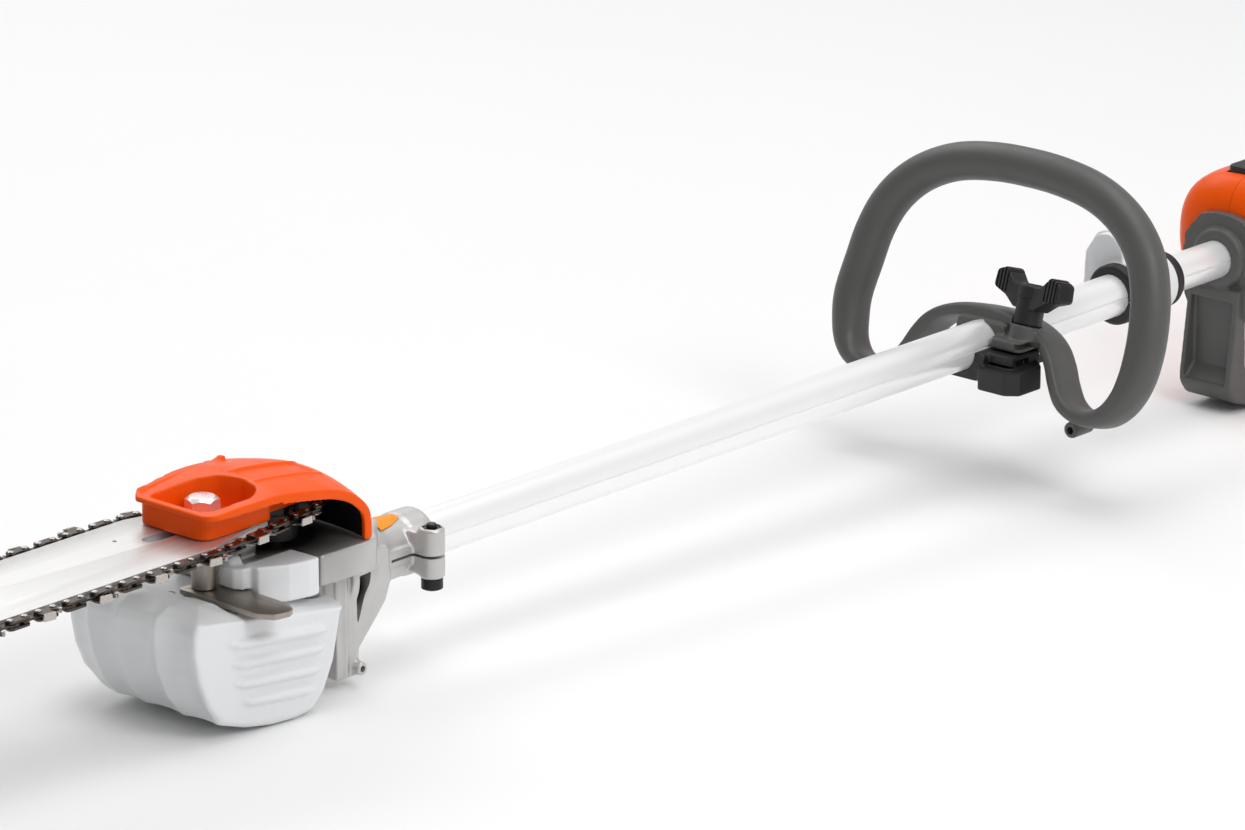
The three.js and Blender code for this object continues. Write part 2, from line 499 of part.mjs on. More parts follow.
// ---------------------------------------------------------------- telescope lock
function buildLock(saw) {
  const lock = groupAt(saw, LOCK_X, 0, 0);
  const tubeEnd = OUTER_TUBE.rear - LOCK_X;
  part(lock, 'front_ring', cut(
    rodX(19, 0, 8, { r1: 18, n: 32 }), rodX(OUTER_TUBE.r + GAP, -1, 9, { n: TUBE_SIDES })), DARK);
  const earSide = rounded([[-4, 10], [26, 10], [27, 26], [20, 36], [8, 38], [-4, 28]], 6);
  const ear = (x0, x1) => alongX(earSide, x0, x1, 3);
  part(lock, 'lock_body', cut(
    join(rodX(19, 8.3, 44, { n: 32 }), ear(10, 17), ear(35, 42)),
    rodX(OUTER_TUBE.r + GAP, 8, tubeEnd + GAP, { n: TUBE_SIDES }),
    rodX(INNER_TUBE.r + GAP, 8, 45, { n: TUBE_SIDES }),
    rodX(2.8, 9, 43, { y: 12, z: 26, n: 12 })), WHITE);
  part(lock, 'rear_ring', cut(
    rodX(18, 44.3, 52, { r1: 17.4, n: 32 }), rodX(INNER_TUBE.r + GAP, 44, 53, { n: TUBE_SIDES })), DARK);
  part(lock, 'lever_pin', rodX(2.5, 9.7, 42.3, { y: 12, z: 26, n: 12 }), STEEL);
  const arm = rounded([[3.6, 22.4], [3.6, 30], [8, 35], [16, 35], [24, 31], [33, 18], [34.5, -8], [30, -16],
    [27, -8], [25, 12], [20, 17.5], [8, 17.5]], 4);
  part(lock, 'lock_lever', cut(
    alongX(arm, 17.3, 34.7, 3), rodX(2.8, 9, 43, { y: 12, z: 26, n: 12 })), WHITE);
}

// ---------------------------------------------------------------- drive unit
const WALL = 2.6;
const SHELL_TOP = [[5, -22], [5, 28], [16, 44], [66, 48], [84, 28], [196, 26], [222, 60], [400, 60]];
const FOOT_THICK = 4.7;
const baseAt = (x) => floorAt(DRIVE_X + x) + FOOT_THICK + GAP;
const SHELL_FLOOR = [[400, baseAt(400)], [222, baseAt(222)], [204, -60], [190, -24], [84, -24], [70, -28],
  [14, -28]];
const SHELL_PLAN = [[5, 32], [18, 43], [66, 43], [84, 19.5], [192, 19.5], [222, 46], [400, 46]];

/** The polygon moved inwards by t, corner by corner. */
function inset(points, t) {
  return points.map(([u, v], i) => {
    const corner = new THREE.Vector2(u, v);
    const into = corner.clone().sub(new THREE.Vector2(...points.at(i - 1))).normalize();
    const out = new THREE.Vector2(...points[(i + 1) % points.length]).sub(corner).normalize();
    const left = new THREE.Vector2(-into.y - out.y, into.x + out.x).normalize();
    const stretch = t / Math.abs(left.dot(new THREE.Vector2(-into.y, into.x)));
    return corner.addScaledVector(left, stretch).toArray();
  });
}

function shellBlank(t) {
  const side = [...SHELL_TOP, ...SHELL_FLOOR].reverse();
  const plan = [...SHELL_PLAN.map(([x, y]) => [x, -y]), ...SHELL_PLAN.toReversed()];
  return alongY(outline(inset(side, t)), -60, 60).intersect(alongZ(outline(inset(plan, t)), -140, 80));
}

function driveShell() {
  const bay = box([306, 420], [-40, 40], [-98, 52]);
  const tube = rodX(INNER_TUBE.r + GAP, -10, 70, { n: TUBE_SIDES });
  const bulkhead = box([60, 64], [-41, 41], [-26, 44]);
  const motorWall = box([216, 219], [-43, 43], [-95, 55]);
  const bayWall = box([302, 306], [-45, 45], [-104, 58]);
  const hollow = cut(shellBlank(WALL), bulkhead, motorWall, bayWall);
  const vents = [0, 1, 2, 3, 4].map((i) => box([238 + 11 * i, 243 + 11 * i], [-60, 60], [-4, 26]));
  return cut(shellBlank(0), hollow, bay, tube, ...vents,
    rodX(8, 60, 230, { n: 16 }),
    box([24, 66], [-17, 17], [40, 60]),
    box([300, 308], [-10.3, 10.3], [39.7, 43.3]),
    box([100, 142], [-7, 7], [20, 30]),
    box([96, 136], [-7, 7], [-30, -18]),
    rodX(3, 10, 80, { y: 25, z: -8, n: 8 }));
}

/** The grey front plate and the guard that closes the finger opening under the grip. */
function handGuard() {
  const face = alongX(rounded([[-30, -20], [-24, 20], [-10, 27], [10, 27], [24, 20], [30, -20], [22, -36],
    [-22, -36]], 6), -2, 4.7, 3);
  const collar = rodX(20, -6, 0, { n: 32 });
  const loop = rounded([[-14, -86], [0, -95], [120, -100], [196, -103], [216, -102], [216, -95], [196, -91],
    [120, -90], [14, -86], [4, -78], [4.7, -20], [-4, -20]], 6);
  const strap = alongY(loop, -22, 22, 3);
  return cut(join(face, collar, strap),
    rodX(INNER_TUBE.r + GAP, -10, 10, { n: TUBE_SIDES }),
    box([-30, -5], [-16, 16], [-82, -26]));
}

function buildDriveUnit(saw) {
  const unit = groupAt(saw, DRIVE_X, 0, 0);
  const whole = driveShell();
  const half = (side) => whole.intersect(
    box([-20, 420], side < 0 ? [-70, -GAP / 2] : [GAP / 2, 70], [-140, 90]));
  part(unit, 'left_shell', half(1), ORANGE);
  part(unit, 'right_shell', half(-1), ORANGE);
  part(unit, 'hand_guard', handGuard(), GREY);

  const level = (x) => floorAt(DRIVE_X + x);
  part(unit, 'foot', alongY(outline([[232, level(232)], [396, level(396)], [396, level(396) + FOOT_THICK],
    [232, level(232) + FOOT_THICK]]), -40, 40), DARK);

  part(unit, 'keypad', cut(
    alongZ(rounded([[24.4, -16.6], [65.6, -16.6], [65.6, 16.6], [24.4, 16.6]], 5), 42, 50.6, 3),
    rodZ(6.3, 40, 60, { x: 36, n: 20 }), rodZ(6.3, 40, 60, { x: 54, n: 20 })), DARK);
  ['power_button', 'mode_button'].forEach((name, i) => {
    part(unit, name, rodZ(6, 44, 51.8, { n: 20 }), GREY, [36 + 18 * i, 0, 0]);
  });

  const pad = cut(
    alongX(rounded([[-23, -6], [-23, 26], [-19, 32], [19, 32], [23, 26], [23, -6]], 3), 90, 190, 3),
    box([80, 200], [-19.9, 19.9], [-30, 28.6]), box([99, 143], [-8, 8], [20, 40]));
  part(unit, 'grip_pad', pad, DARK);

  const lockoutSide = rounded([[138, 12], [141, 22], [132, 33], [110, 36], [107, 32], [114, 24],
    [128, 10]], 3);
  part(unit, 'lockout', cut(
    alongY(lockoutSide, -6.5, 6.5, 3),
    rodY(2.3, -10, 10, { x: 134, z: 17, n: 12 })), DARK);
  part(unit, 'lockout_pin', rodY(2, -16.4, 16.4, { x: 134, z: 17, n: 12 }), STEEL);
  const triggerSide = rounded([[98, -10], [132, -14], [131, -30], [121, -50], [112, -52], [110, -44],
    [104, -30], [98, -22]], 3);
  part(unit, 'trigger', cut(
    alongY(triggerSide, -6.5, 6.5, 3),
    rodY(2.3, -10, 10, { x: 104, z: -16, n: 12 })), ORANGE);
  part(unit, 'trigger_pin', rodY(2, -16.4, 16.4, { x: 104, z: -16, n: 12 }), STEEL);
  part(unit, 'trigger_switch', box([146, 170], [-7, 7], [-18, -9]), DARK);

  part(unit, 'motor_can', cut(
    rodX(33, 236, 286, { n: 32 }), rodX(27, 239, 300, { n: 24 }), rodX(8, 230, 240, { n: 16 })), GREY);
  part(unit, 'stator', cut(
    alongX(toothed(12, 26.4, 22, radians(9), radians(9)), 243, 279), rodX(17, 240, 290, { n: 24 })), COPPER);
  part(unit, 'motor_rotor', join(
    rodX(16.4, 245, 277), rodX(4, 206, 290, { n: 16 })), STEEL);
  part(unit, 'motor_bearing', cut(
    rodX(26.4, 281, 285.7, { n: 24 }), rodX(4.3, 280, 290, { n: 16 })), BRIGHT);
  part(unit, 'shaft_bearing', cut(
    rodX(10.2, 40, 47), rodX(REAR_SHAFT.r + GAP, 39, 50, { n: 16 })), BRIGHT);
  part(unit, 'controller_board', join(
    box([228, 298], [-34, 34], [40, 43]), box([297, 315], [-10, 10], [40, 43]),
    box([306.3, 315], [-12, 12], [22, 43])), BOARD);

  const pack = cut(
    join(box([308, 401], [-38, 38], [-96, 50]), box([400.4, 412], [-44, 44], [-100, 57])),
    box([300, 320], [-14, 14], [17, 51]),
    box([404, 416], [-26, 26], [-60, -20]),
    box([403, 416], [-9, 9], [25, 40]));
  part(unit, 'battery_pack', pack, DARK);
  part(unit, 'battery_latch', box([406, 413.5], [-8.5, 8.5], [25.5, 39.5]), ORANGE);
}

// ---------------------------------------------------------------- the whole saw
function buildHead(saw) {
  const head = groupAt(saw, 0, 0, 0);
  part(head, 'gear_housing', gearHousing(), CASTING);
  buildCutting(head);
  buildBevelDrive(head);
  buildCover(head);
  buildHeadFittings(head);
  buildTank(head);
}

const poleSaw = new THREE.Group();
const saw = groupAt(poleSaw, 0, 0, 0);
saw.rotation.y = -STANCE;
buildPole(saw);
buildHead(saw);
buildLoopHandle(saw);
buildLock(saw);
buildDriveUnit(saw);

// The origin is on the floor, under the middle of the whole saw's box.
poleSaw.updateMatrixWorld(true);
const bounds = new THREE.Box3().setFromObject(poleSaw, true);
const middle = bounds.getCenter(new THREE.Vector3());
saw.position.set(-middle.x, -middle.y, -bounds.min.z);

export default poleSaw;
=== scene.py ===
import json
import math

import bmesh
import bpy
from mathutils import Matrix, Vector


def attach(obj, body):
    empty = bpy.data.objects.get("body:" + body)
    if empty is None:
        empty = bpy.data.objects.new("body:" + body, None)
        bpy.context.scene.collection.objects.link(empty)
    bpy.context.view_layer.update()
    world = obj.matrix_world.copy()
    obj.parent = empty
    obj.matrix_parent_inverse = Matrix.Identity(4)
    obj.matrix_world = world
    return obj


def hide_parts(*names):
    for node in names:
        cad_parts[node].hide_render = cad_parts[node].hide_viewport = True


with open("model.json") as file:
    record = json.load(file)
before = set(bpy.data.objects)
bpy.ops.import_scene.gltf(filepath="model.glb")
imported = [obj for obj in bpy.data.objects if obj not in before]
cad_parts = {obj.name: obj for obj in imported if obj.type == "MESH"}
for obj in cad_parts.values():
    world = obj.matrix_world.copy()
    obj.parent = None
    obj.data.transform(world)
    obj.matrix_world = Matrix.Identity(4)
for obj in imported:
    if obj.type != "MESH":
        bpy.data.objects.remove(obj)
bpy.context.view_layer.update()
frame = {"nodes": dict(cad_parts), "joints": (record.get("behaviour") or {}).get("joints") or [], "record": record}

# ---- the saw's own frame
# Every piece is made in millimetres along the pole: X runs towards the drive unit, Y to the user's left and
# Z up, with zero on the pole's axis just behind the head's clamp. PLACE carries it to the frame's metres.
joints = {joint["name"]: joint for joint in frame["joints"]}
SHAFT_JOINT_TO_ZERO = 0.1             # metres along the pole from the front shaft's joint to zero
ALONG = Vector(joints["front_shaft_spin"]["axis"]).normalized()
SIDE = Vector((0, 1, 0))
UP = ALONG.cross(SIDE)
ZERO = Vector(joints["front_shaft_spin"]["pos_m"]) + SHAFT_JOINT_TO_ZERO * ALONG
PLACE = (Matrix.Translation(ZERO) @ Matrix((ALONG, SIDE, UP)).transposed().to_4x4()
         @ Matrix.Scale(0.001, 4))


def span(node):
    """A CAD node's lowest and highest corners in the saw's own frame."""
    back = PLACE.inverted()
    points = [back @ vertex.co for vertex in frame["nodes"][node].data.vertices]
    return (Vector([min(p[i] for p in points) for i in range(3)]),
            Vector([max(p[i] for p in points) for i in range(3)]))


def middle(node):
    low, high = span(node)
    return (low + high) / 2


SPINDLE_X = middle("spindle").x
BOLT_X = middle("bar_nut").x
NOSE_X = middle("nose_sprocket").x
CHAIN_Z = middle("guide_bar").z
BAR_HALF = span("guide_bar")[1].y
TUBE_R = span("outer_tube")[1].y
INNER_R = span("inner_tube")[1].y
TUBE_BORE = TUBE_R + 0.15             # a bore round the outer tube, and one round the inner tube
INNER_BORE = INNER_R + 0.2
TUBE_WALL, INNER_WALL = 0.9, 1.3
BAR_HALF_THICK = 2.25
BAR_STRAIGHT_END = -205               # where the bar's straight edges end
CLAMP_SCREW = (-34, -25.5)            # the head clamp's screw, (x, y)
STAND_BOSS = (-89.6, -50.4)           # the small boss under the neck, (x, z)
LEVER_PIN = (12, 26)                  # the telescope lock's pivot, (y, z)
HANDLE_X = 480
LEAN = 0.3                            # the loop handle goes back by this share of its height
LEAN_ANGLE = math.atan(LEAN)
LOCK_X = span("front_ring")[0].x
DRIVE_X = span("keypad")[0].x - 24.4
CLAMP_X, CLAMP_Y = HANDLE_X - 11, -29


# ---- outlines
def rounded(points, radius, steps=5):
    """The outline with its corners rounded. The radius is one number or one for each corner."""
    shape = []
    count = len(points)
    for i, (u, v) in enumerate(points):
        corner = Vector((u, v))
        r = radius[i] if isinstance(radius, (list, tuple)) else radius
        back = Vector(points[i - 1]) - corner
        ahead = Vector(points[(i + 1) % count]) - corner
        angle = back.angle(ahead)
        reach = min(r / math.tan(angle / 2), back.length * 0.49, ahead.length * 0.49)
        if reach < 0.01:
            shape.append((u, v))
            continue
        start, end = corner + back.normalized() * reach, corner + ahead.normalized() * reach
        for k in range(steps + 1):
            t = k / steps
            point = start * (1 - t) ** 2 + corner * 2 * t * (1 - t) + end * t ** 2
            shape.append((point.x, point.y))
    return shape


def sweep(start, extent, steps):
    """Evenly spaced numbers from start to start + extent, both included."""
    return [start + extent * k / steps for k in range(steps + 1)]


def circle(radius, u=0.0, v=0.0, count=32, phase=0.0):
    turn = 2 * math.pi / count
    return [(u + radius * math.cos(phase + k * turn), v + radius * math.sin(phase + k * turn))
            for k in range(count)]


def hexagon(flats, u=0.0, v=0.0, phase=0.0):
    return circle(flats / math.sqrt(3), u, v, 6, phase)


def curve_through(points, steps=6, closed=False):
    """A smooth run of points through the given ones, which may have any number of coordinates."""
    count = len(points)
    run = []
    for i in range(count if closed else count - 1):
        a, b, c, d = (points[j % count] if closed else points[max(0, min(count - 1, j))]
                      for j in (i - 1, i, i + 1, i + 2))
        for k in range(steps):
            t = k / steps
            run.append(tuple(
                0.5 * (2 * q + (r - p) * t + (2 * p - 5 * q + 4 * r - s) * t ** 2
                       + (3 * q - p - 3 * r + s) * t ** 3)
                for p, q, r, s in zip(a, b, c, d)))
    if not closed:
        run.append(tuple(points[-1]))
    return run


def superellipse(half_u, half_v, power, count=48):
    shape = []
    for k in range(count):
        angle = 2 * math.pi * (k + 0.5) / count
        cosine, sine = math.cos(angle), math.sin(angle)
        shape.append((half_u * math.copysign(abs(cosine) ** (2 / power), cosine),
                      half_v * math.copysign(abs(sine) ** (2 / power), sine)))
    return shape


# ---- solids
AXES = {"x": lambda u, v, w: (w, u, v), "y": lambda u, v, w: (u, w, v), "z": lambda u, v, w: (u, v, w)}


def new_object(name, data):
    made = bpy.data.objects.new(name, data)
    bpy.context.scene.collection.objects.link(made)
    return made


def form(vertices, faces):
    """A mesh object with its faces pointing out."""
    mesh = bpy.data.meshes.new("form")
    mesh.from_pydata([tuple(v) for v in vertices], [], faces)
    work = bmesh.new()
    work.from_mesh(mesh)
    bmesh.ops.recalc_face_normals(work, faces=work.faces)
    work.to_mesh(mesh)
    work.free()
    return new_object("form", mesh)


def loft(rings, closed=False):
    """A solid through rings of points, capped at its ends or joined end to end."""
    count = len(rings[0])
    vertices = [point for ring in rings for point in ring]
    faces = []
    for i in range(len(rings) if closed else len(rings) - 1):
        j = (i + 1) % len(rings)
        for k in range(count):
            m = (k + 1) % count
            faces.append((i * count + k, i * count + m, j * count + m, j * count + k))
    if not closed:
        faces.append(tuple(range(count)))
        faces.append(tuple(range(len(vertices) - count, len(vertices))))
    return form(vertices, faces)


def prism(outline, low, high, axis="z"):
    """The outline pushed from low to high: (x, y) along z, (x, z) along y, (y, z) along x."""
    return loft([[AXES[axis](u, v, w) for u, v in outline] for w in (low, high)])


def slab(points, radius, low, high, axis="z"):
    """A prism with rounded corners."""
    return prism(rounded(points, radius), low, high, axis)


def pad(u0, u1, v0, v1, radius, low, high, axis="z"):
    """A slab with a rectangle for its outline."""
    return slab([(u0, v0), (u1, v0), (u1, v1), (u0, v1)], radius, low, high, axis)


def block(x0, x1, y0, y1, z0, z1):
    return prism([(x0, y0), (x1, y0), (x1, y1), (x0, y1)], z0, z1)


def lathe(profile, axis="x", u=0.0, v=0.0, count=48):
    """A turned solid: the profile lists (place along the axis, radius) from end to end."""
    return loft([[AXES[axis](a, b, w) for a, b in circle(r, u, v, count)] for w, r in profile])


def rod(radius, low, high, axis="x", u=0.0, v=0.0, count=48, chamfer=0.0):
    ends = [(low, radius), (high, radius)]
    if chamfer:
        ends = [(low, radius - chamfer), (low + chamfer, radius), (high - chamfer, radius),
                (high, radius - chamfer)]
    return lathe(ends, axis, u, v, count)


def tube(outer, inner, low, high):
    """A tube along X with a key groove down its outside."""
    def ring(x, radius, notch=0.0):
        half = math.radians(3.4)
        angles = [0.0] + sweep(half, 2 * math.pi - 2 * half, 119)
        reach = [radius - notch] + [radius] * 120
        return [(x, r * math.cos(GROOVE_ANGLE + a), r * math.sin(GROOVE_ANGLE + a))
                for r, a in zip(reach, angles)]
    return loft([ring(low, outer - 0.3, GROOVE_DEPTH / 2), ring(low + 0.3, outer, GROOVE_DEPTH),
                 ring(high - 0.3, outer, GROOVE_DEPTH), ring(high, outer - 0.3, GROOVE_DEPTH / 2),
                 ring(high, inner), ring(low, inner)], closed=True)


def modify(made, kind, **settings):
    """Applies one modifier to the object's mesh."""
    modifier = made.modifiers.new("step", kind)
    for name, value in settings.items():
        setattr(modifier, name, value)
    graph = bpy.context.evaluated_depsgraph_get()
    mesh = bpy.data.meshes.new_from_object(made.evaluated_get(graph))
    made.modifiers.clear()
    old = made.data
    made.data = mesh
    bpy.data.meshes.remove(old)
    return made


def combine(first, others, operation):
    for other in others:
        modify(first, "BOOLEAN", object=other, operation=operation, solver="MANIFOLD")
        bpy.data.objects.remove(other)
    return first


def join(first, *others):
    return combine(first, others, "UNION")


def cut(first, *others):
    return combine(first, others, "DIFFERENCE")


def overlap(first, *others):
    return combine(first, others, "INTERSECT")


def soften(made, voxel, rounds):
    """Melts the edges of a cast or moulded form: an even mesh of the voxel's size, then smoothed."""
    modify(made, "REMESH", mode="VOXEL", voxel_size=voxel)
    return modify(made, "SMOOTH", factor=0.5, iterations=rounds)


def chamfered(made, width=0.4, segments=2, angle=35):
    return modify(made, "BEVEL", width=width, segments=segments, limit_method="ANGLE",
                  angle_limit=math.radians(angle), use_clamp_overlap=True)


def moved(made, matrix):
    made.data.transform(matrix)
    return made


def merged(pieces):
    """Several separate solids as one object."""
    work = bmesh.new()
    for made in pieces:
        work.from_mesh(made.data)
        bpy.data.objects.remove(made)
    mesh = bpy.data.meshes.new("form")
    work.to_mesh(mesh)
    work.free()
    return new_object("form", mesh)


def place(made, name, body, slot, *nodes, finish=None, sharp=35):
    """Puts a finished piece in the frame under its name and body, gives it its slot's finish or the finish given
    when that isn't its slot's own, and hides the nodes it stands for."""
    made.data.transform(PLACE)
    made.name = name
    made.data.name = name
    made.data.polygons.foreach_set("use_smooth", [True] * len(made.data.polygons))
    made.data.set_sharp_from_angle(angle=math.radians(sharp))
    made.data.materials.clear()
    made.data.materials.append(finish or SLOT_FINISH[slot])
    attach(made, body)
    if nodes:
        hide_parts(*nodes)
    return made


# ---- materials
BUMP_HEIGHT = 0.0003                  # metres
SCATTER_REACH = 0.006


def feed(owner, node, inputs):
    """Gives each input of a node its value, or links it from another node's output."""
    for name, value in inputs.items():
        if isinstance(value, bpy.types.NodeSocket):
            owner.node_tree.links.new(value, node.inputs[name])
        else:
            node.inputs[name].default_value = value


def add_node(owner, kind, inputs, **settings):
    """A new shader node in a material or a world."""
    node = owner.node_tree.nodes.new("ShaderNode" + kind)
    for name, value in settings.items():
        setattr(node, name, value)
    feed(owner, node, inputs)
    return node


def blend(owner, factor, a, b, **settings):
    """The colour factor of the way from a to b. Each is a colour or another node's output."""
    a, b = (c if isinstance(c, bpy.types.NodeSocket) else (*c, 1) for c in (a, b))
    node = add_node(owner, "Mix", {"Factor": factor, "A": a, "B": b}, data_type="RGBA", **settings)
    return node.outputs["Result"]


def remap(owner, value, low, high, to_low, to_high):
    """A value carried from the range low to high to another range, and held at its ends."""
    return add_node(owner, "MapRange", {"Value": value, "From Min": low, "From Max": high, "To Min": to_low,
                                        "To Max": to_high}).outputs["Result"]


def surface(name, colour, roughness, metallic=0.0, mottle=0.06, mottle_scale=60.0, grain=0.1,
            grain_scale=900.0, stretch=1.0, rough_spread=0.08, scatter=0.0, edge_rub_and_highlight=0.0,
            edge_rub_and_highlight_colour=(0.8, 0.8, 0.8), gloss=0.5):
    """A procedural finish. Colour drifts at mottle_scale, and grain is a bump at grain_scale; stretch draws
    both out along the pole for brushed or drawn metal. The edge-lightening argument brightens convex edges: real
    rubbed edges, and on the chain links partly a painted highlight."""
    material = bpy.data.materials.new(name)
    material.use_nodes = True
    spot = add_node(material, "TexCoord", {}).outputs["Object"]
    mapping = add_node(material, "Mapping", {"Vector": spot, "Scale": (1 / stretch, 1, 1),
                                             "Rotation": (0, math.atan2(ALONG.z, ALONG.x), 0)})

    def noise(scale, detail):
        return add_node(material, "TexNoise", {"Vector": mapping.outputs["Vector"], "Scale": scale,
                                               "Detail": detail}).outputs["Fac"]

    tint = blend(material, noise(mottle_scale, 4.0), [c * (1 - mottle) for c in colour],
                 [min(1.0, c * (1 + mottle)) for c in colour])
    if edge_rub_and_highlight:
        edges = add_node(material, "NewGeometry", {}).outputs["Pointiness"]
        tint = blend(material, remap(material, edges, 0.52, 0.62, 0.0, edge_rub_and_highlight), tint, edge_rub_and_highlight_colour)
    rough = remap(material, noise(mottle_scale * 2.3, 3.0), 0.3, 0.7, roughness - rough_spread / 2,
                  roughness + rough_spread / 2)
    bump = add_node(material, "Bump", {"Strength": grain, "Distance": BUMP_HEIGHT,
                                       "Height": noise(grain_scale, 2.0)})
    shader = material.node_tree.nodes["Principled BSDF"]
    feed(material, shader, {"Base Color": tint, "Roughness": rough, "Normal": bump.outputs["Normal"],
                            "Metallic": metallic, "Specular IOR Level": gloss})
    if scatter:
        feed(material, shader, {"Subsurface Weight": scatter, "Subsurface Radius": (SCATTER_REACH,) * 3,
                                "Subsurface Scale": 1.0})
    return material


ORANGE = surface("orange moulding", (0.88, 0.092, 0.0), 0.34, mottle=0.03, grain=0.02,
                 grain_scale=260.0, gloss=0.14)
AMBER = surface("amber label", (0.85, 0.3, 0.005), 0.4, mottle=0.03, grain=0.02, gloss=0.3)
GREY = surface("grey moulding", (0.082, 0.082, 0.079), 0.45, mottle=0.08, grain=0.16, grain_scale=1500.0)
DARK = surface("dark moulding", (0.007, 0.007, 0.007), 0.5, mottle=0.12, grain=0.2, grain_scale=1400.0)
GRIP = surface("soft grip", (0.02, 0.02, 0.02), 0.75, mottle=0.15, grain=0.45, grain_scale=2200.0)
WHITE = surface("white moulding", (0.76, 0.77, 0.78), 0.34, mottle=0.015, grain=0.05, grain_scale=500.0,
                scatter=0.1)
CASTING = surface("die casting", (0.56, 0.55, 0.54), 0.4, metallic=0.65, mottle=0.08, grain=0.3,
                  grain_scale=900.0, edge_rub_and_highlight=0.5, edge_rub_and_highlight_colour=(0.62, 0.6, 0.58))
TUBE = surface("drawn tube", (0.95, 0.95, 0.955), 0.3, metallic=0.45, mottle=0.01, mottle_scale=180.0,
               grain=0.0004, grain_scale=2600.0, stretch=60.0, rough_spread=0.02)
BAR = surface("ground bar", (0.68, 0.675, 0.665), 0.44, metallic=0.8, mottle=0.05, mottle_scale=240.0,
              grain=0.08, grain_scale=2600.0, stretch=40.0, rough_spread=0.12)
STEEL = surface("bare steel", (0.36, 0.325, 0.29), 0.36, metallic=1.0, mottle=0.14, mottle_scale=150.0,
                grain=0.12, grain_scale=1800.0, stretch=12.0)
BRIGHT = surface("chrome", (0.88, 0.88, 0.89), 0.28, metallic=0.7, mottle=0.03, grain=0.02)
# The chain links' lightened edges are partly rubbed steel and partly a painted highlight along the plates' rims.
LINK = surface("chain link", (0.085, 0.072, 0.064), 0.3, metallic=1.0, mottle=0.3, mottle_scale=350.0,
               grain=0.25, edge_rub_and_highlight=1.0, edge_rub_and_highlight_colour=(0.7, 0.67, 0.64))
CUTTER = surface("cutter plating", (0.5, 0.46, 0.43), 0.27, metallic=1.0, mottle=0.12, mottle_scale=400.0)
SCREW = surface("black screw", (0.02, 0.02, 0.021), 0.38, metallic=0.6, mottle=0.2, grain=0.15)
COPPER = surface("copper winding", (0.6, 0.24, 0.1), 0.35, metallic=1.0, mottle=0.2, grain=0.3)
BOARD = surface("circuit board", (0.02, 0.14, 0.06), 0.4, mottle=0.3, mottle_scale=500.0)


SLOT_FINISH = {
    "orange_shell": ORANGE, "grey_plastic": GREY, "dark_plastic": DARK, "white_plastic": WHITE,
    "soft_grip": GRIP, "casting": CASTING, "tube": TUBE, "steel": STEEL, "bright_steel": BRIGHT,
    "bar_steel": BAR, "chain_steel": LINK, "black_screw": SCREW, "copper": COPPER, "board": BOARD}
# Painted shade: the near-black colour mixed into the casting where shade falls.
PAINTED_SHADE_COLOUR = (0.012, 0.011, 0.01)


def paint_shade_round(material, x, y, z, inner, outer):
    """Paints shade into a finish round a place, from its full strength within inner metres to nothing at outer."""
    shader = material.node_tree.nodes["Principled BSDF"]
    unshaded = shader.inputs["Base Color"].links[0].from_socket
    spot = add_node(material, "TexCoord", {}).outputs["Object"]
    reach = add_node(material, "VectorMath", {0: spot, 1: PLACE @ Vector((x, y, z))}, operation="DISTANCE")
    fade = remap(material, reach.outputs["Value"], inner, outer, 1.0, 0.0)
    feed(material, shader, {"Base Color": blend(material, fade, unshaded, PAINTED_SHADE_COLOUR)})


# Painted shade on the gear housing's plate under the chain cover's hood.
paint_shade_round(CASTING, SPINDLE_X + 4, 8, 30, 0.024, 0.056)
# Painted shade in the window between the ribs under the neck.
paint_shade_round(CASTING, -84, -11, -9, 0.007, 0.0125)


# ---- the pole
GROOVE_ANGLE = math.pi + math.radians(-6)   # the key groove faces the user's right
GROOVE_DEPTH = 0.75


def make_pole():
    low, high = span("outer_tube")
    place(tube(TUBE_R, TUBE_R - TUBE_WALL, low.x, high.x),
          "outer_pole", "boom", "tube", "outer_tube")
    low, high = span("inner_tube")
    place(tube(INNER_R, INNER_R - INNER_WALL, low.x, high.x),
          "inner_pole", "drive_unit", "tube", "inner_tube")


# ---- the head's casting
def gusset(y0, y1):
    """A triangular rib under the neck. Its window is cut with the housing's bores."""
    return slab([(-104, 12), (-63, 12), (-61.6, -8), (-66, -19), (-87, -41), (-87, -55), (-104, -55)], 3,
                y0, y1, "y")


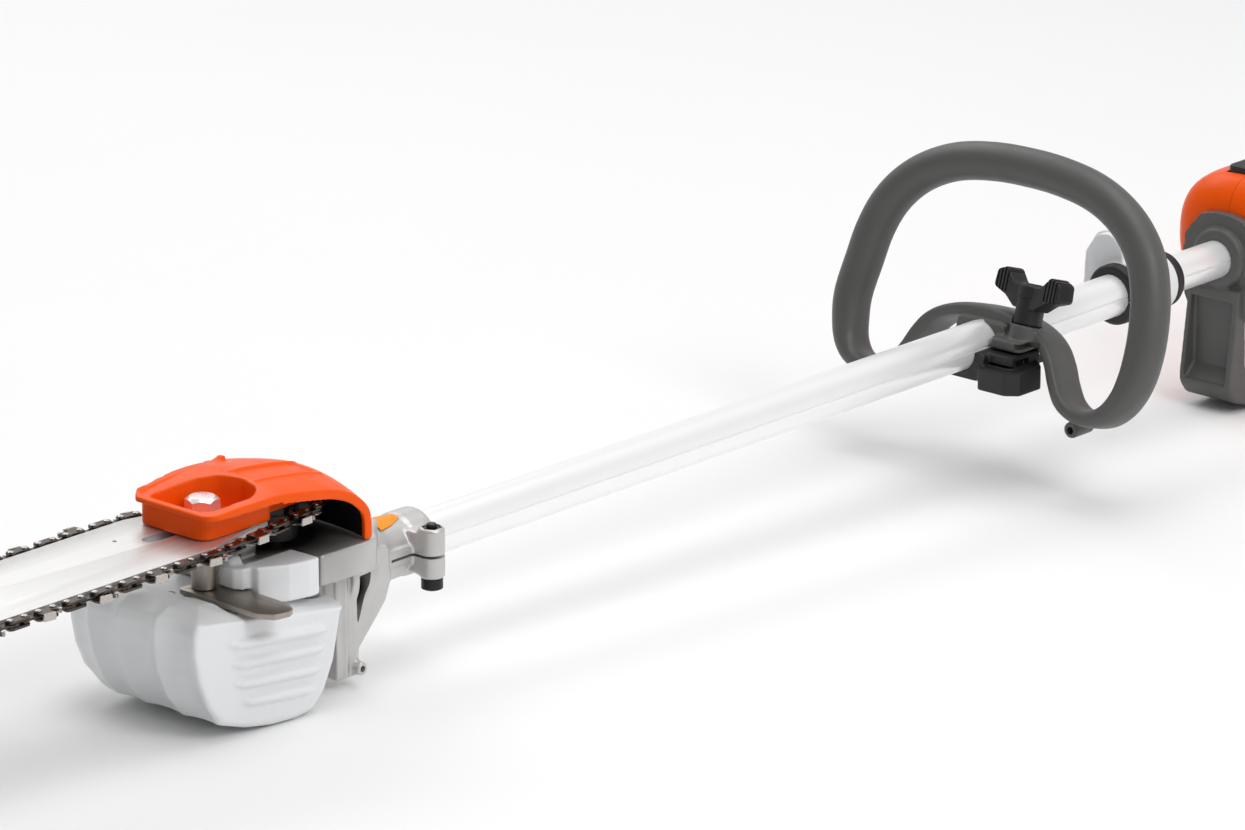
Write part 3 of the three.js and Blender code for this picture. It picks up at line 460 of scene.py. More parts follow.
def make_gear_housing():
    plate = rounded([(-164, -16), (-130.6, -16), (-130, -37.4), (-96, -39), (-87, -36.4), (-80, -27),
                     (-66, -17), (-66, 17), (-80, 29), (-100, 44), (-164, 40)],
                    [3, 2, 2, 5, 6, 8, 8, 8, 8, 8, 5])
    body = join(
        prism(plate, 9, 26),
        pad(-205, -150, -12, 12, 6, 30, 44.2),
        block(-163, -152, -11, 11, 25, 31),
        rod(26.5, -24, 10, "z", SPINDLE_X, 0),
        pad(-128, -66, -20, 20, 6, -20, 10),
        lathe([(-94, 25.6), (-84, 25), (-72, 22.4), (-62, 19), (-55, 17.5), (-36.4, 17.2), (-36, 18),
               (-21.4, 18), (-19.8, 16.4)]),
        rod(7.2, -13, 15.4, "z", *CLAMP_SCREW, chamfer=1.0),
        block(-41.2, -26.8, -26, -10, -11, 12.5),
        block(-66, -30, -18.6, -8, -5, 5.4),
        gusset(-22, -17), gusset(17, 22),
        block(-104, -99, -22, 22, -55, 10), block(-98.4, -96.4, -23.4, -20, -54, 4),
        rod(3.8, -27, -20, "y", *STAND_BOSS), block(-92, -89.8, -23, -20, -46, 4))
    soften(body, 0.9, 5)
    cut(body,
        rod(TUBE_BORE, -76, 1, count=96),
        rod(15.5, SPINDLE_X + 6, -88),
        rod(13, -89, -75),
        rod(27, -36, -24.1, "z", SPINDLE_X, 0),
        rod(23, -40, 6, "z", SPINDLE_X, 0),
        rod(11.3, 5, 17, "z", SPINDLE_X, 0),
        rod(6.5, 16, 29, "z", SPINDLE_X, 0),
        rod(4.3, 28, 46, "z", BOLT_X, 0),
        block(-201, -190, 3.5, 11, 32, 46),
        rod(2.8, -207, -165, "x", 7.2, 36, 24),
        rod(6.3, 10, 48, "y", -140, 17.5, 32),
        rod(3.3, -21, 21, "z", *CLAMP_SCREW, 24),
        rod(1.8, -30, -22, "y", *STAND_BOSS, 24),
        *[slab([(-89.4, 1.5), (-88.2, -28), (-80, -5), (-79.4, 1.5)], 1, y0, y1, "y")
          for y0, y1 in ((-30, -13.6), (13.6, 30))],
        prism(hexagon(10, *CLAMP_SCREW), 11.4, 20),
        block(-58, 1, -40, -11, -0.8, 0.8))
    place(body, "gear_housing_cast", "boom", "casting", "gear_housing", sharp=50)
    lid = join(rod(26.4, -30, -24.3, "z", SPINDLE_X, 0, chamfer=0.8), rod(14, -33, -29, "z", SPINDLE_X, 0))
    place(lid, "gear_housing_lid", "boom", "casting", "gear_cover")


def make_label():
    """A plain patch with nothing on it, curved over the near side of the neck."""
    rows = []
    for x, radius, first, last in ((-57, 18.3, 57, 110), (-47, 17.6, 62, 104), (-38, 17.5, 74, 92)):
        rows += [(x, -radius * math.cos(a), radius * math.sin(a))
                 for a in map(math.radians, sweep(first, last - first, 10))]
    patch = form(rows, [(k, k + 1, k + 12, k + 11) for k in range(21) if k != 10])
    modify(patch, "SOLIDIFY", thickness=0.5, offset=1)
    place(patch, "head_plain_label", "boom", "orange_shell", finish=AMBER)


def make_clamp_screw():
    x, y = CLAMP_SCREW
    head = lathe([(-19.6, 4.8), (-19, 6), (-13.4, 6), (-13, 5.6)], "z", x, y)
    cut(head, prism(hexagon(5, x, y), -21, -17))
    place(join(head, rod(2.9, -13.6, 17.4, "z", x, y, chamfer=0.5)), "head_clamp_screw", "boom",
          "black_screw", "pinch_screw")
    nut = chamfered(prism(hexagon(9.6, x, y), 11.5, 15), 0.4)
    place(cut(nut, rod(3.1, 11, 16, "z", x, y)), "head_clamp_nut", "boom", "black_screw", "pinch_nut")


# ---- guide bar and chain
def make_bar():
    low, high = CHAIN_Z - BAR_HALF_THICK, CHAIN_Z + BAR_HALF_THICK
    edge = [(NOSE_X + BAR_HALF * math.cos(a), BAR_HALF * math.sin(a))
            for a in sweep(math.pi / 2, math.pi, 40)]
    edge += [(BAR_STRAIGHT_END, -BAR_HALF), (-152, -20)]
    edge += [(-149.5, -10), (-148.8, 0), (-149.5, 10)]
    edge += [(-152, 20), (BAR_STRAIGHT_END, BAR_HALF)]
    bar = chamfered(prism(edge, low, high), 0.35)
    cut(bar, pad(-222, -168, -4.4, 4.4, 4.3, low - 1, high + 1),
        rod(2.6, low - 1, high + 1, "z", -195, 8.2, 32), rod(1.2, low - 1, high + 1, "z", -232, 12, 24),
        cut(rod(BAR_HALF + 5, CHAIN_Z - 0.9, CHAIN_Z + 0.9, "z", NOSE_X, 0),
            block(NOSE_X + BAR_HALF - 2, NOSE_X + 60, -50, 50, 40, 55),
            rod(4, 40, 55, "z", NOSE_X, 0)))
    place(bar, "bar_plate", "boom", "bar_steel", "guide_bar")
    rivets = []
    for k in range(5):
        angle = math.pi / 2 + math.pi * (k + 0.5) / 5
        x, y = NOSE_X + 16 * math.cos(angle), 16 * math.sin(angle)
        rivets.append(lathe([(low - 0.25, 1.6), (low, 2.1), (high, 2.1), (high + 0.25, 1.6)], "z", x, y, 20))
    rivets.append(lathe([(low - 0.2, 3), (high + 0.2, 3)], "z", NOSE_X, 0, 24))
    place(merged(rivets), "bar_rivets", "boom", "steel")


def chain_route():
    """The places of the chain's rivets, an equal distance apart round the bar and the sprocket."""
    radius, small = BAR_HALF + 4.3, 25.0
    run = [(NOSE_X + radius * math.cos(a), radius * math.sin(a))
           for a in sweep(math.pi / 2, math.pi, 90)]
    run.append((BAR_STRAIGHT_END, -radius))
    run += [(SPINDLE_X + small * math.cos(a), small * math.sin(a))
            for a in map(math.radians, sweep(-84, 168, 60))]
    run += [(BAR_STRAIGHT_END, radius), (NOSE_X, radius)]
    lengths = [math.dist(run[i], run[i + 1]) for i in range(len(run) - 1)]
    total = sum(lengths)
    count = 4 * round(total / RIVET_STEP / 4)
    places, i, gone = [], 0, 0.0
    for k in range(count):
        target = total * k / count
        while gone + lengths[i] < target:
            gone += lengths[i]
            i += 1
        t = (target - gone) / lengths[i]
        places.append(Vector(run[i]).lerp(Vector(run[i + 1]), t))
    return places


RIVET_STEP = 9.9
STRAP = [(-7.2, -1.2), (-6.4, -2.7), (-4.2, -2.9), (-1.8, -2.1), (1.8, -2.1), (4.2, -2.9), (6.4, -2.7),
         (7.2, -1.2), (7.0, 1.8), (5.6, 3.2), (-5.6, 3.2), (-7.0, 1.8)]
DRIVER = [(-7.2, 1.5), (-7.2, -1.5), (-5.2, -3.2), (-2.2, -3.8), (0.4, -6.6), (2.2, -3.8), (5.2, -3.2),
          (7.2, -1.5), (7.2, 1.5), (5.4, 2.7), (1.5, 1.6), (-1.5, 1.6), (-5.4, 2.7)]
CUTTER_SIDE = STRAP[:8] + [(7.4, 1.6), (7.0, 4.4), (5.4, 5.2), (4.0, 3.8), (2.8, 2.2), (1.0, 2.6),
                           (0.4, 6.2), (-6.8, 5.4), (-7.4, 3.4)]


def make_chain():
    places = chain_route()
    count = len(places)
    plates, tops, rivets = [], [], []
    for i, start in enumerate(places):
        end = places[(i + 1) % count]
        run = (end - start).normalized()
        centre = (start + end) / 2
        out = Vector((run.y, -run.x))
        if out.dot(centre - Vector((SPINDLE_X if centre.x > BAR_STRAIGHT_END else centre.x, 0))) < 0:
            out = -out
        turn = Matrix(((run.x, out.x, 0, centre.x), (run.y, out.y, 0, centre.y), (0, 0, 1, CHAIN_Z),
                       (0, 0, 0, 1)))

        def link(outline, z0, z1):
            plates.append(moved(chamfered(prism(outline, z0, z1), 0.28, 1), turn))
        rivets.append(moved(lathe([(-3.3, 0.9), (-2.9, 1.8), (2.9, 1.8), (3.3, 0.9)], "z", count=16),
                            Matrix.Translation((*start, CHAIN_Z))))
        if i % 2 == 0:
            link(DRIVER, -0.65, 0.65)
            continue
        sort = (i // 2) % 4
        for side in (1, -1):
            z0, z1 = sorted((side * 1.0, side * 2.4))
            if (sort == 0 and side > 0) or (sort == 2 and side < 0):
                link(CUTTER_SIDE, z0, z1)
                t0, t1 = sorted((side * 2.5, -side * 1.6))
                tooth = prism([(-6.9, 5.3), (0.3, 6.2), (0.5, 7.4), (-6.9, 6.4)], t0, t1, "z")
                tops.append(moved(chamfered(tooth, 0.15, 1), turn))
                gauge = [(4.4, 3.6), (7.0, 3.4), (7.0, 4.6), (5.3, 5.5)]
                tops.append(moved(prism(gauge, min(0, side * 2.5), max(0, side * 2.5)), turn))
            else:
                link(STRAP, z0, z1)
    place(merged(plates), "chain_links", "boom", "chain_steel", "saw_chain", sharp=30)
    place(merged(rivets), "chain_rivets", "boom", "chain_steel", finish=CUTTER)
    place(merged(tops), "chain_cutters", "boom", "chain_steel", finish=CUTTER, sharp=30)


def make_sprocket():
    low, high = 43.6, 50
    points = []
    for k in range(7):
        for r, turn in ((14, -15), (14.5, -9), (19, -6), (20.6, 0), (19, 6), (14.5, 9), (14, 15)):
            a = math.radians(k * 360 / 7 + turn)
            points.append((SPINDLE_X + r * math.cos(a), r * math.sin(a)))
    gear = join(chamfered(prism(points, low, high), 0.4), rod(13, 28.5, 43.7, "z", SPINDLE_X, 0, chamfer=0.6))
    cut(gear, rod(5.3, 28, 51, "z", SPINDLE_X, 0, 32))
    # Painted shade: the sprocket takes the black screw finish in place of bare steel, as it sits in shade under
    # the hood.
    place(gear, "chain_sprocket", "sprocket_drive", "steel", "drive_sprocket", finish=SCREW)


# ---- chain cover, bolt, nut and hook
# The cover's roof as (x, z) runs from front to rear: along its middle and along its two long edges.
ROOF_MIDDLE = [(-208, 65.4), (-196, 66), (-184, 67.6), (-172, 69.2), (-160, 70.3), (-150, 70.3), (-137, 68.9),
               (-123, 67), (-107, 63.2), (-97, 57), (-91, 50.5), (-88.2, 44), (-87, 36), (-86.5, 26.6)]
ROOF_EDGE = [(-208, 65.4), (-196, 66.4), (-184, 66.9), (-172, 66.9), (-160, 66.7), (-148, 65.4), (-133, 62.8),
             (-118.5, 59.8), (-106, 54.7), (-98.5, 49.3), (-94, 44.4), (-92, 40), (-91.4, 35), (-91.4, 26.6)]
COVER_NEAR, COVER_FAR = -37.0, 45.0
ROOF_FLOOR = 12.0                     # how far down the solid under the roof goes


def roof_solid(drop, near, far):
    """What lies under the roof lowered by drop, from one side to the other."""
    crest = curve_through(ROOF_MIDDLE, 4)
    edge = curve_through(ROOF_EDGE, 4)
    rings = []
    stations = sweep(near, far - 9 - near, 12) + [far - 6, far - 3.5, far - 1.6, far - 0.5, far]
    for y in stations:
        share = min(1.1, (abs(y - 2) / 39) ** 2)
        turn = max(0.0, 1 - (far - y) / 9)
        sink = 9 * (1 - math.sqrt(max(0.0, 1 - turn ** 2))) if turn > 0 else 0.0
        ring = []
        for i, (a, b) in enumerate(zip(crest, edge)):
            x = a[0] + (b[0] - a[0]) * share
            z = a[1] + (b[1] - a[1]) * share
            ahead = crest[min(i + 1, len(crest) - 1)]
            behind = crest[max(i - 1, 0)]
            run = Vector((ahead[0] - behind[0], ahead[1] - behind[1])).normalized()
            inward = Vector((run.y, -run.x)) * (drop + sink)
            ring.append((x + inward.x, y, max(z + inward.y, ROOF_FLOOR + 1)))
        ring += [(ring[-1][0], y, ROOF_FLOOR), (ring[0][0], y, ROOF_FLOOR)]
        rings.append(ring)
    return loft(rings)


def make_cover():
    plan = rounded([(-208.4, -34.5), (-172, -36.6), (-140, -37), (-80, -37), (-80, 45), (-141, 45),
                    (-141, 31.4), (-170, 32), (-200, 28.5), (-208.4, 21)], [11, 20, 20, 1, 9, 3, 3, 20, 8, 8])
    shell = overlap(roof_solid(0, COVER_NEAR, COVER_FAR), prism(plan, 20, 90))
    cut(shell, block(-230, -157, -60, 60, 0, 62.6), block(-100, -70, -60, 60, 0, 26.6))
    room = cut(overlap(roof_solid(3.1, COVER_NEAR + 3.4, COVER_FAR - 2.8),
                       block(-157.5, -60, -60, 60, 0, 90)), block(-170, -137.9, 28.3, 60, 0, 90))
    mouth = overlap(roof_solid(5.4, -60, COVER_FAR - 3), block(-157.5, -60, -60, 0, 0, 90))
    cut(shell, room, mouth)
    low_box = rounded([(-204, -25.6), (-153.8, -25.6), (-153.8, 24), (-204, 24)], [9, 4, 4, 7])
    join(shell, prism(low_box, 49.5, 63.5))
    rib = prism([(-206, 62), (-206, 66.6), (-172, 66.6), (-150, 66.9), (-141, 67.5), (-137.6, 68.9),
                 (-135, 68.4), (-136, 62)], 27.6, 31.6, "y")
    join(shell, overlap(rib, prism(plan, 50, 90)))
    panel = overlap(cut(block(-156, -111, -15, 1.5, 50, 80), roof_solid(0.9, COVER_NEAR, COVER_FAR)),
                    pad(-156, -111, -15, 1.5, 3, 50, 90))
    ridge = overlap(roof_solid(-0.8, COVER_NEAR, COVER_FAR),
                    merged([block(-157, -108, -17.4, -15.6, 50, 80), block(-157, -108, 2.2, 4, 50, 80)]))
    join(shell, ridge)
    cut(shell, panel)
    pocket = rounded([(-203.8, -22), (-197, -27.8), (-172, -28.8), (-162.5, -22), (-160, -9), (-164, 4),
                      (-174, 11.5), (-186, 14.4), (-203.8, 17.5)], [8, 8, 12, 9, 10, 10, 8, 8, 5])
    rings = [[(BOLT_X + (x - BOLT_X) * 0.93, y * 0.86, 53.2) for x, y in pocket],
             [(x, y, 66) for x, y in pocket],
             [(BOLT_X + (x - BOLT_X) * 1.06, y * 1.06, 72) for x, y in pocket]]
    well = cut(loft(rings), block(-230, -100, -60, 60, 40, 64.2))
    well_floor = overlap(loft(rings), block(-202.6, -155.2, -24.2, 22.6, 50, 64.3))
    channel = slab([(-204.4, 20.6), (-187, 17.6), (-172, 14.6), (-160, 7), (-154, 10), (-150, 27),
                    (-200, 25.6)], 3, 64.2, 90)
    slope = loft([[(-210, y, z) for y, z in ((10, 63.6), (40, 63.6), (40, 90), (10, 90))],
                  [(-150, y, z) for y, z in ((0, 70.6), (40, 70), (40, 90), (0, 90))]])
    cut(shell, well, well_floor, overlap(channel, slope))
    soften(shell, 0.72, 3)
    cut(shell, rod(4.3, 48, 56, "z", BOLT_X, 0))
    place(shell, "chain_cover_moulding", "boom", "orange_shell", "chain_cover", sharp=60)
    # Painted shade: a thin dark sheet just inside the hood's walls and roof, so the space under the hood looks
    # dark.
    shade_sheet = cut(overlap(roof_solid(2.9, COVER_NEAR + 3.6, COVER_FAR - 2.6),
                         block(-156.6, -60, -60, 60, 27, 90)), block(-170, -138.1, 28.5, 60, 0, 90))
    cut(shade_sheet, cut(roof_solid(4.2, -60, COVER_FAR - 3.9), block(-220, -136.7, 27.1, 60, 0, 90)))
    place(shade_sheet, "chain_cover_shade_sheet", "boom", "dark_plastic")


def make_bolt_and_hook():
    cone = lathe([(53, 9.6), (61.6, 9.6), (63.7, 6.6)], "z", BOLT_X, 0)
    nut = overlap(prism(hexagon(16.4, BOLT_X, 0, math.radians(12)), 54.4, 63.6), cone)
    join(nut, rod(9.6, 53.4, 55.2, "z", BOLT_X, 0, chamfer=0.3))
    cut(nut, rod(4.2, 52, 61.4, "z", BOLT_X, 0))
    place(nut, "bar_nut_chrome", "bar_nut", "bright_steel", "bar_nut")
    bolt = join(rod(4, 9, 60.2, "z", BOLT_X, 0, chamfer=0.5),
                chamfered(prism(hexagon(11, BOLT_X, 0), 4, 9.7), 0.5))
    place(bolt, "bar_bolt_black", "boom", "black_screw", "bar_bolt")
    spacer = cut(rod(6.6, 13.2, 29.8, "z", BOLT_X, 0, chamfer=0.4), rod(4.3, 12, 31, "z", BOLT_X, 0))
    place(spacer, "hook_spacer_turned", "boom", "steel", "hook_spacer")
    outline = rounded([(-190, 10), (-171.5, 10), (-170, -2), (-165, -13), (-167.4, -24), (-168.4, -51),
                       (-172.4, -58), (-176.6, -60), (-185.6, -58.4), (-190.6, -49.6)],
                      [4, 4, 6, 6, 8, 5, 2, 2, 4, 5])
    hook = chamfered(cut(prism(outline, 10, 13), rod(4.3, 9, 14, "z", BOLT_X, 0)), 0.5, 3)
    place(hook, "branch_hook", "boom", "steel", "hook_plate")


# ---- oil tank
# The tank's outline as seen from the side, (x, z), from its front top corner down and round.
TANK_SIDE = [(-226.6, 12), (-229, 6), (-229.4, -3), (-226.4, -19), (-219.8, -35), (-209, -47.3),
             (-188, -54), (-170, -57.4), (-152, -58.7), (-140, -57.2), (-131.4, -49.4), (-123.4, -33),
             (-117.4, -6), (-111.4, 0), (-111.4, 8.4), (-150, 8.4), (-192.2, 8.4), (-193, 12.4), (-200, 14.6),
             (-209, 16.2), (-219, 15.8)]
TANK_MIDDLE = Vector((-172, 0, -18))
TANK_RIDGES = [-41, -12, 16.4, 37, 53]   # the front's ridges, with a shallow hollow between each two
TANK_NEAR, TANK_FAR = -41.0, 60.0
TANK_TOP = 8.4                           # the flat part of the tank's top
CAP_X, CAP_Z = -185.0, -16.0             # the filler's axis, on the tank's far side


def tank_ring(y, shrink):
    """The tank's outline at one place across it, drawn in by shrink and hollowed at the front."""
    hollow = 0.0
    for low, high in zip(TANK_RIDGES, TANK_RIDGES[1:]):
        if low <= y <= high:
            t = (y - low) / (high - low)
            hollow = 0.19 * (high - low) * (1 - (2 * t - 1) ** 2)
    ring = []
    for x, z in rounded(TANK_SIDE, 5, 4):
        front = max(0.0, min(1.0, (-204 - x) / 14))
        inward = Vector((TANK_MIDDLE.x - x, 0, (TANK_MIDDLE.z - z) * 0.5)).normalized() * hollow * front
        ring.append((TANK_MIDDLE.x + (x - TANK_MIDDLE.x) * (1 - shrink / 57) + inward.x, y,
                     TANK_MIDDLE.z + (z - TANK_MIDDLE.z) * (1 - shrink / 40) + inward.z))
    return ring


def make_tank():
    rings = [tank_ring(TANK_NEAR + dy, shrink) for dy, shrink in ((0, 4.6), (0.7, 2.6), (2, 1), (4, 0.2))]
    rings += [tank_ring(y, 0) for y in sweep(TANK_NEAR + 5, TANK_FAR - TANK_NEAR - 22, 54)]
    rings += [tank_ring(TANK_FAR - dy, shrink)
              for dy, shrink in ((13, 0.7), (9, 2.2), (5, 5), (2, 8.6), (0.4, 12.4), (0, 15))]
    body = loft(rings)
    # Above the seam the near side leans inwards.
    shoulder = loft([[(x, y, z) for y, z in ((-50, seam), (-40.2, seam), (10, seam + rise), (10, 60),
                                             (-50, 60))]
                     for x, seam, rise in ((-236, 14.3, 26), (-110, -5.8, 13))])
    cut(body, shoulder)
    for (x0, z0), (x1, z1) in (((-202, -3.6), (-131.5, -12.6)), ((-200.6, -14.8), (-133.9, -22.6)),
                               ((-199, -26), (-136.4, -33.4)), ((-193, -37.2), (-141, -43.4))):
        shape = superellipse(3.3, 3.0, 2, 16)
        rings = []
        for t in sweep(0, 1, 14):
            size = min(1.0, (min(t, 1 - t) * 9 + 0.12)) ** 0.5
            rings.append([(x0 + (x1 - x0) * t, TANK_NEAR + 0.1 + u * size, z0 + (z1 - z0) * t + v * size)
                          for u, v in shape])
        join(body, loft(rings))
    ledge = slab([(-164.5, -16), (-165.4, -25), (-151, -34.2), (-139, -37), (-130.6, -37), (-131.4, -16)],
                 [1, 2, 3, 2, 2, 1], TANK_TOP - 3, 25.8)
    step = slab([(-173.4, -3), (-173.4, -15), (-170, -19.4), (-160, -21), (-160, -3)], [2, 3, 3, 1, 1],
                13.4, 25)
    bump = lathe([(-171, 3.2), (-169.6, 4.6), (-160, 5.2), (-156, 4.4), (-154.6, 3)], "x", -8, 24.6, 28)
    join(body, ledge, step, bump)
    soften(body, 0.9, 2)
    cut(body, block(-164.4, -108, -16.2, 70, 8.7, 30))
    cut(body, join(rod(29, -38, 20, "z", SPINDLE_X, 0), block(SPINDLE_X, -100, -26, 26, -38, 20)),
        rod(8, TANK_FAR - 12, TANK_FAR + 3, "y", CAP_X, CAP_Z), rod(9, 3.4, 12.8, "z", BOLT_X, 0),
        block(-192.6, -164.8, -62, 12, 9.2, 13.3),
        pad(-200, -176, -8, 8, 4, 4, 30))
    place(body, "oil_tank_moulding", "boom", "white_plastic", "oil_tank", sharp=60)

    knurl = []
    for k in range(18):
        for r, turn in ((13, -4), (14, -2.5), (14, 2.5), (13, 4)):
            a = math.radians(20 * k + turn)
            knurl.append((CAP_X + r * math.cos(a), CAP_Z + r * math.sin(a)))
    cap = chamfered(prism(knurl, TANK_FAR + 0.8, TANK_FAR + 9.5, "y"), 0.5)
    join(cap, rod(7.6, TANK_FAR - 8, TANK_FAR + 5, "y", CAP_X, CAP_Z),
         block(CAP_X - 10, CAP_X + 10, TANK_FAR + 8, TANK_FAR + 12, CAP_Z - 1.5, CAP_Z + 1.5))
    place(cap, "oil_cap_knurled", "oil_cap", "dark_plastic", "oil_cap")


# ---- loop handle
GRIP_LINE = [  # half of the loop: y, z, thickness in its plane, width across it, squareness
    (0, 98, 23.6, 23.6, 2), (-25, 97, 23.6, 23.6, 2), (-50, 93, 23.6, 23.6, 2), (-70, 85.4, 23.6, 23.6, 2),
    (-86, 74.5, 23.8, 23.8, 2), (-98, 60, 24, 24, 2), (-105, 43, 24, 24, 2), (-108.4, 25, 24, 24, 2),
    (-109, 9, 23.6, 24, 2), (-107.4, -5, 21.5, 24.5, 2.1), (-103, -17.5, 17.5, 25, 2.3),
    (-95, -27.4, 13, 26, 2.6), (-84.5, -32.2, 10.6, 27, 3), (-73.5, -32, 9.8, 27.6, 3.4),
    (-63.5, -27, 9.2, 28, 3.8), (-56.4, -17.5, 8.4, 28, 4), (-51, -7.4, 8, 28, 4), (-43.6, 1.6, 8, 28.4, 4),
    (-33, 7.8, 8.2, 29, 4), (-18, 11.8, 8.6, 30, 4), (0, 13.1, 8.8, 30, 4)]
FAR_DROP = 5.0                        # how much lower the far bend reaches than the near one


def handle_point(y, z):
    return Vector((HANDLE_X + LEAN * z, y, z))


def make_loop_handle():
    far = []
    for y, z, *rest in reversed(GRIP_LINE[1:-1]):
        lower = FAR_DROP * math.exp(-((y + 103) / 16) ** 2) if z < 20 else 0.0
        far.append((-y + 0.6 * lower, z - lower, *rest))
    line = curve_through(GRIP_LINE + far, 6, closed=True)
    across = Vector((math.cos(LEAN_ANGLE), 0, -math.sin(LEAN_ANGLE)))
    rings = []
    for i, (y, z, thick, wide, power) in enumerate(line):
        ahead = handle_point(*line[(i + 1) % len(line)][:2]) - handle_point(*line[i - 1][:2])
        inward = across.cross(ahead.normalized())
        rings.append([handle_point(y, z) + inward * u + across * v
                      for u, v in superellipse(thick / 2, wide / 2, power, 40)])
    handle = loft(rings, closed=True)
    join(handle, on_clamp(rod(9.8, 3, 14.4, "z")),
         slab([(-20, 1), (20, 1), (17, 13), (-17, 13)], 3, HANDLE_X - 15, HANDLE_X + 12, "x"),
         pad(HANDLE_X - 24, HANDLE_X + 8, -37, -14, 4, 1.2, 7.4),
         lathe([(HANDLE_X - 16, 4.4), (HANDLE_X - 15.4, 5), (HANDLE_X + 2, 5)], "x", -70, -40.5, 32))
    soften(handle, 0.9, 5)
    cut(handle,
        rod(TUBE_BORE, HANDLE_X - 40, HANDLE_X + 50, count=96),
        prism(hexagon(4.6, -70, -40.5), HANDLE_X - 18, HANDLE_X - 9, "x"),
        on_clamp(rod(9.4, 14.4, 60, "z")), on_clamp(rod(4.3, -30, 40, "z")),
        block(HANDLE_X - 30, HANDLE_X - 12, -44, -33, 3.5, 7))
    place(handle, "loop_grip", "loop_handle", "grey_plastic", "loop_handle", sharp=55)


def on_clamp(made):
    """Moves a piece made round the Z axis onto the clamp's leaning axis."""
    return moved(made, Matrix.Translation((CLAMP_X, CLAMP_Y, 0)) @ Matrix.Rotation(LEAN_ANGLE, 4, "Y"))


def make_handle_clamp():
    x = HANDLE_X
    base = join(
        slab([(-20.5, 0.2), (20.5, 0.2), (19, -13), (14, -17.3), (-14, -17.3), (-19, -13)], 2.5,
             x - 36, x + 6, "x"),
        pad(x - 31, x + 4, -36.4, -12, 2.5, -9, 0.2),
        slab([(x - 38, -37), (x - 32, -44.5), (x - 12, -44.5), (x - 6, -38), (x - 6, -16), (x - 38, -16)],
             3, -21.4, -7))
    soften(base, 0.8, 2)
    cut(base, rod(TUBE_BORE, x - 45, x + 30, count=96), on_clamp(rod(4.3, -40, 20, "z", count=32)),
        on_clamp(prism(hexagon(13.3), -40, -13)),
        block(x - 26, x - 14, -48, -33, -6.6, -2.6), block(x - 4, x + 8, -48, -28, -6, -1.2),
        block(x - 33, x - 27, -40, -20, -6.4, -4.8))
    place(base, "handle_clamp_base", "loop_handle", "grey_plastic", "lower_clamp", finish=DARK, sharp=45)
    bolt = join(on_clamp(chamfered(prism(hexagon(13), -20.5, -13.2), 0.4)),
                on_clamp(rod(4, -14, 30, "z", count=32, chamfer=0.4)))
    place(bolt, "handle_clamp_bolt", "loop_handle", "steel", "clamp_bolt", finish=BRIGHT)


def make_knob():
    wing = rounded([(-31, 33), (-19, 29.5), (-10, 24), (10, 24), (19, 29.5), (31, 33), (30, 43.5), (21, 46.5),
                    (13, 38.5), (-13, 38.5), (-21, 46.5), (-30, 43.5)], [3, 4, 3, 3, 4, 3, 3, 4, 5, 5, 4, 3])
    knob = join(chamfered(prism(wing, -6.4, 6.4, "y"), 1.4, 3), rod(8.6, 14.7, 36, "z", chamfer=0.8),
                rod(9.2, 30, 39, "z", chamfer=1.2))
    for side in (-1, 1):
        for k in range(4):
            u = side * (18.6 + 3.1 * k)
            cut(knob, block(u - 0.65, u + 0.65, -8, 8, 42.2 - 0.55 * k, 50))
            cut(knob, block(u - 0.65, u + 0.65, -8, -5.6, 31.5, 50),
                block(u - 0.65, u + 0.65, 5.6, 8, 31.5, 50))
    cut(knob, rod(4.3, 10, 34, "z", count=32), rod(5.9, 33.5, 50, "z", count=40))
    moved(knob, Matrix.Rotation(math.radians(75), 4, "Z"))
    place(on_clamp(knob), "handle_clamp_knob", "clamp_knob", "dark_plastic", "clamp_knob")
    insert = cut(rod(5.7, 34.2, 37.4, "z", count=40), rod(4.2, 33, 38, "z", count=32))
    place(on_clamp(insert), "knob_insert", "clamp_knob", "bright_steel")


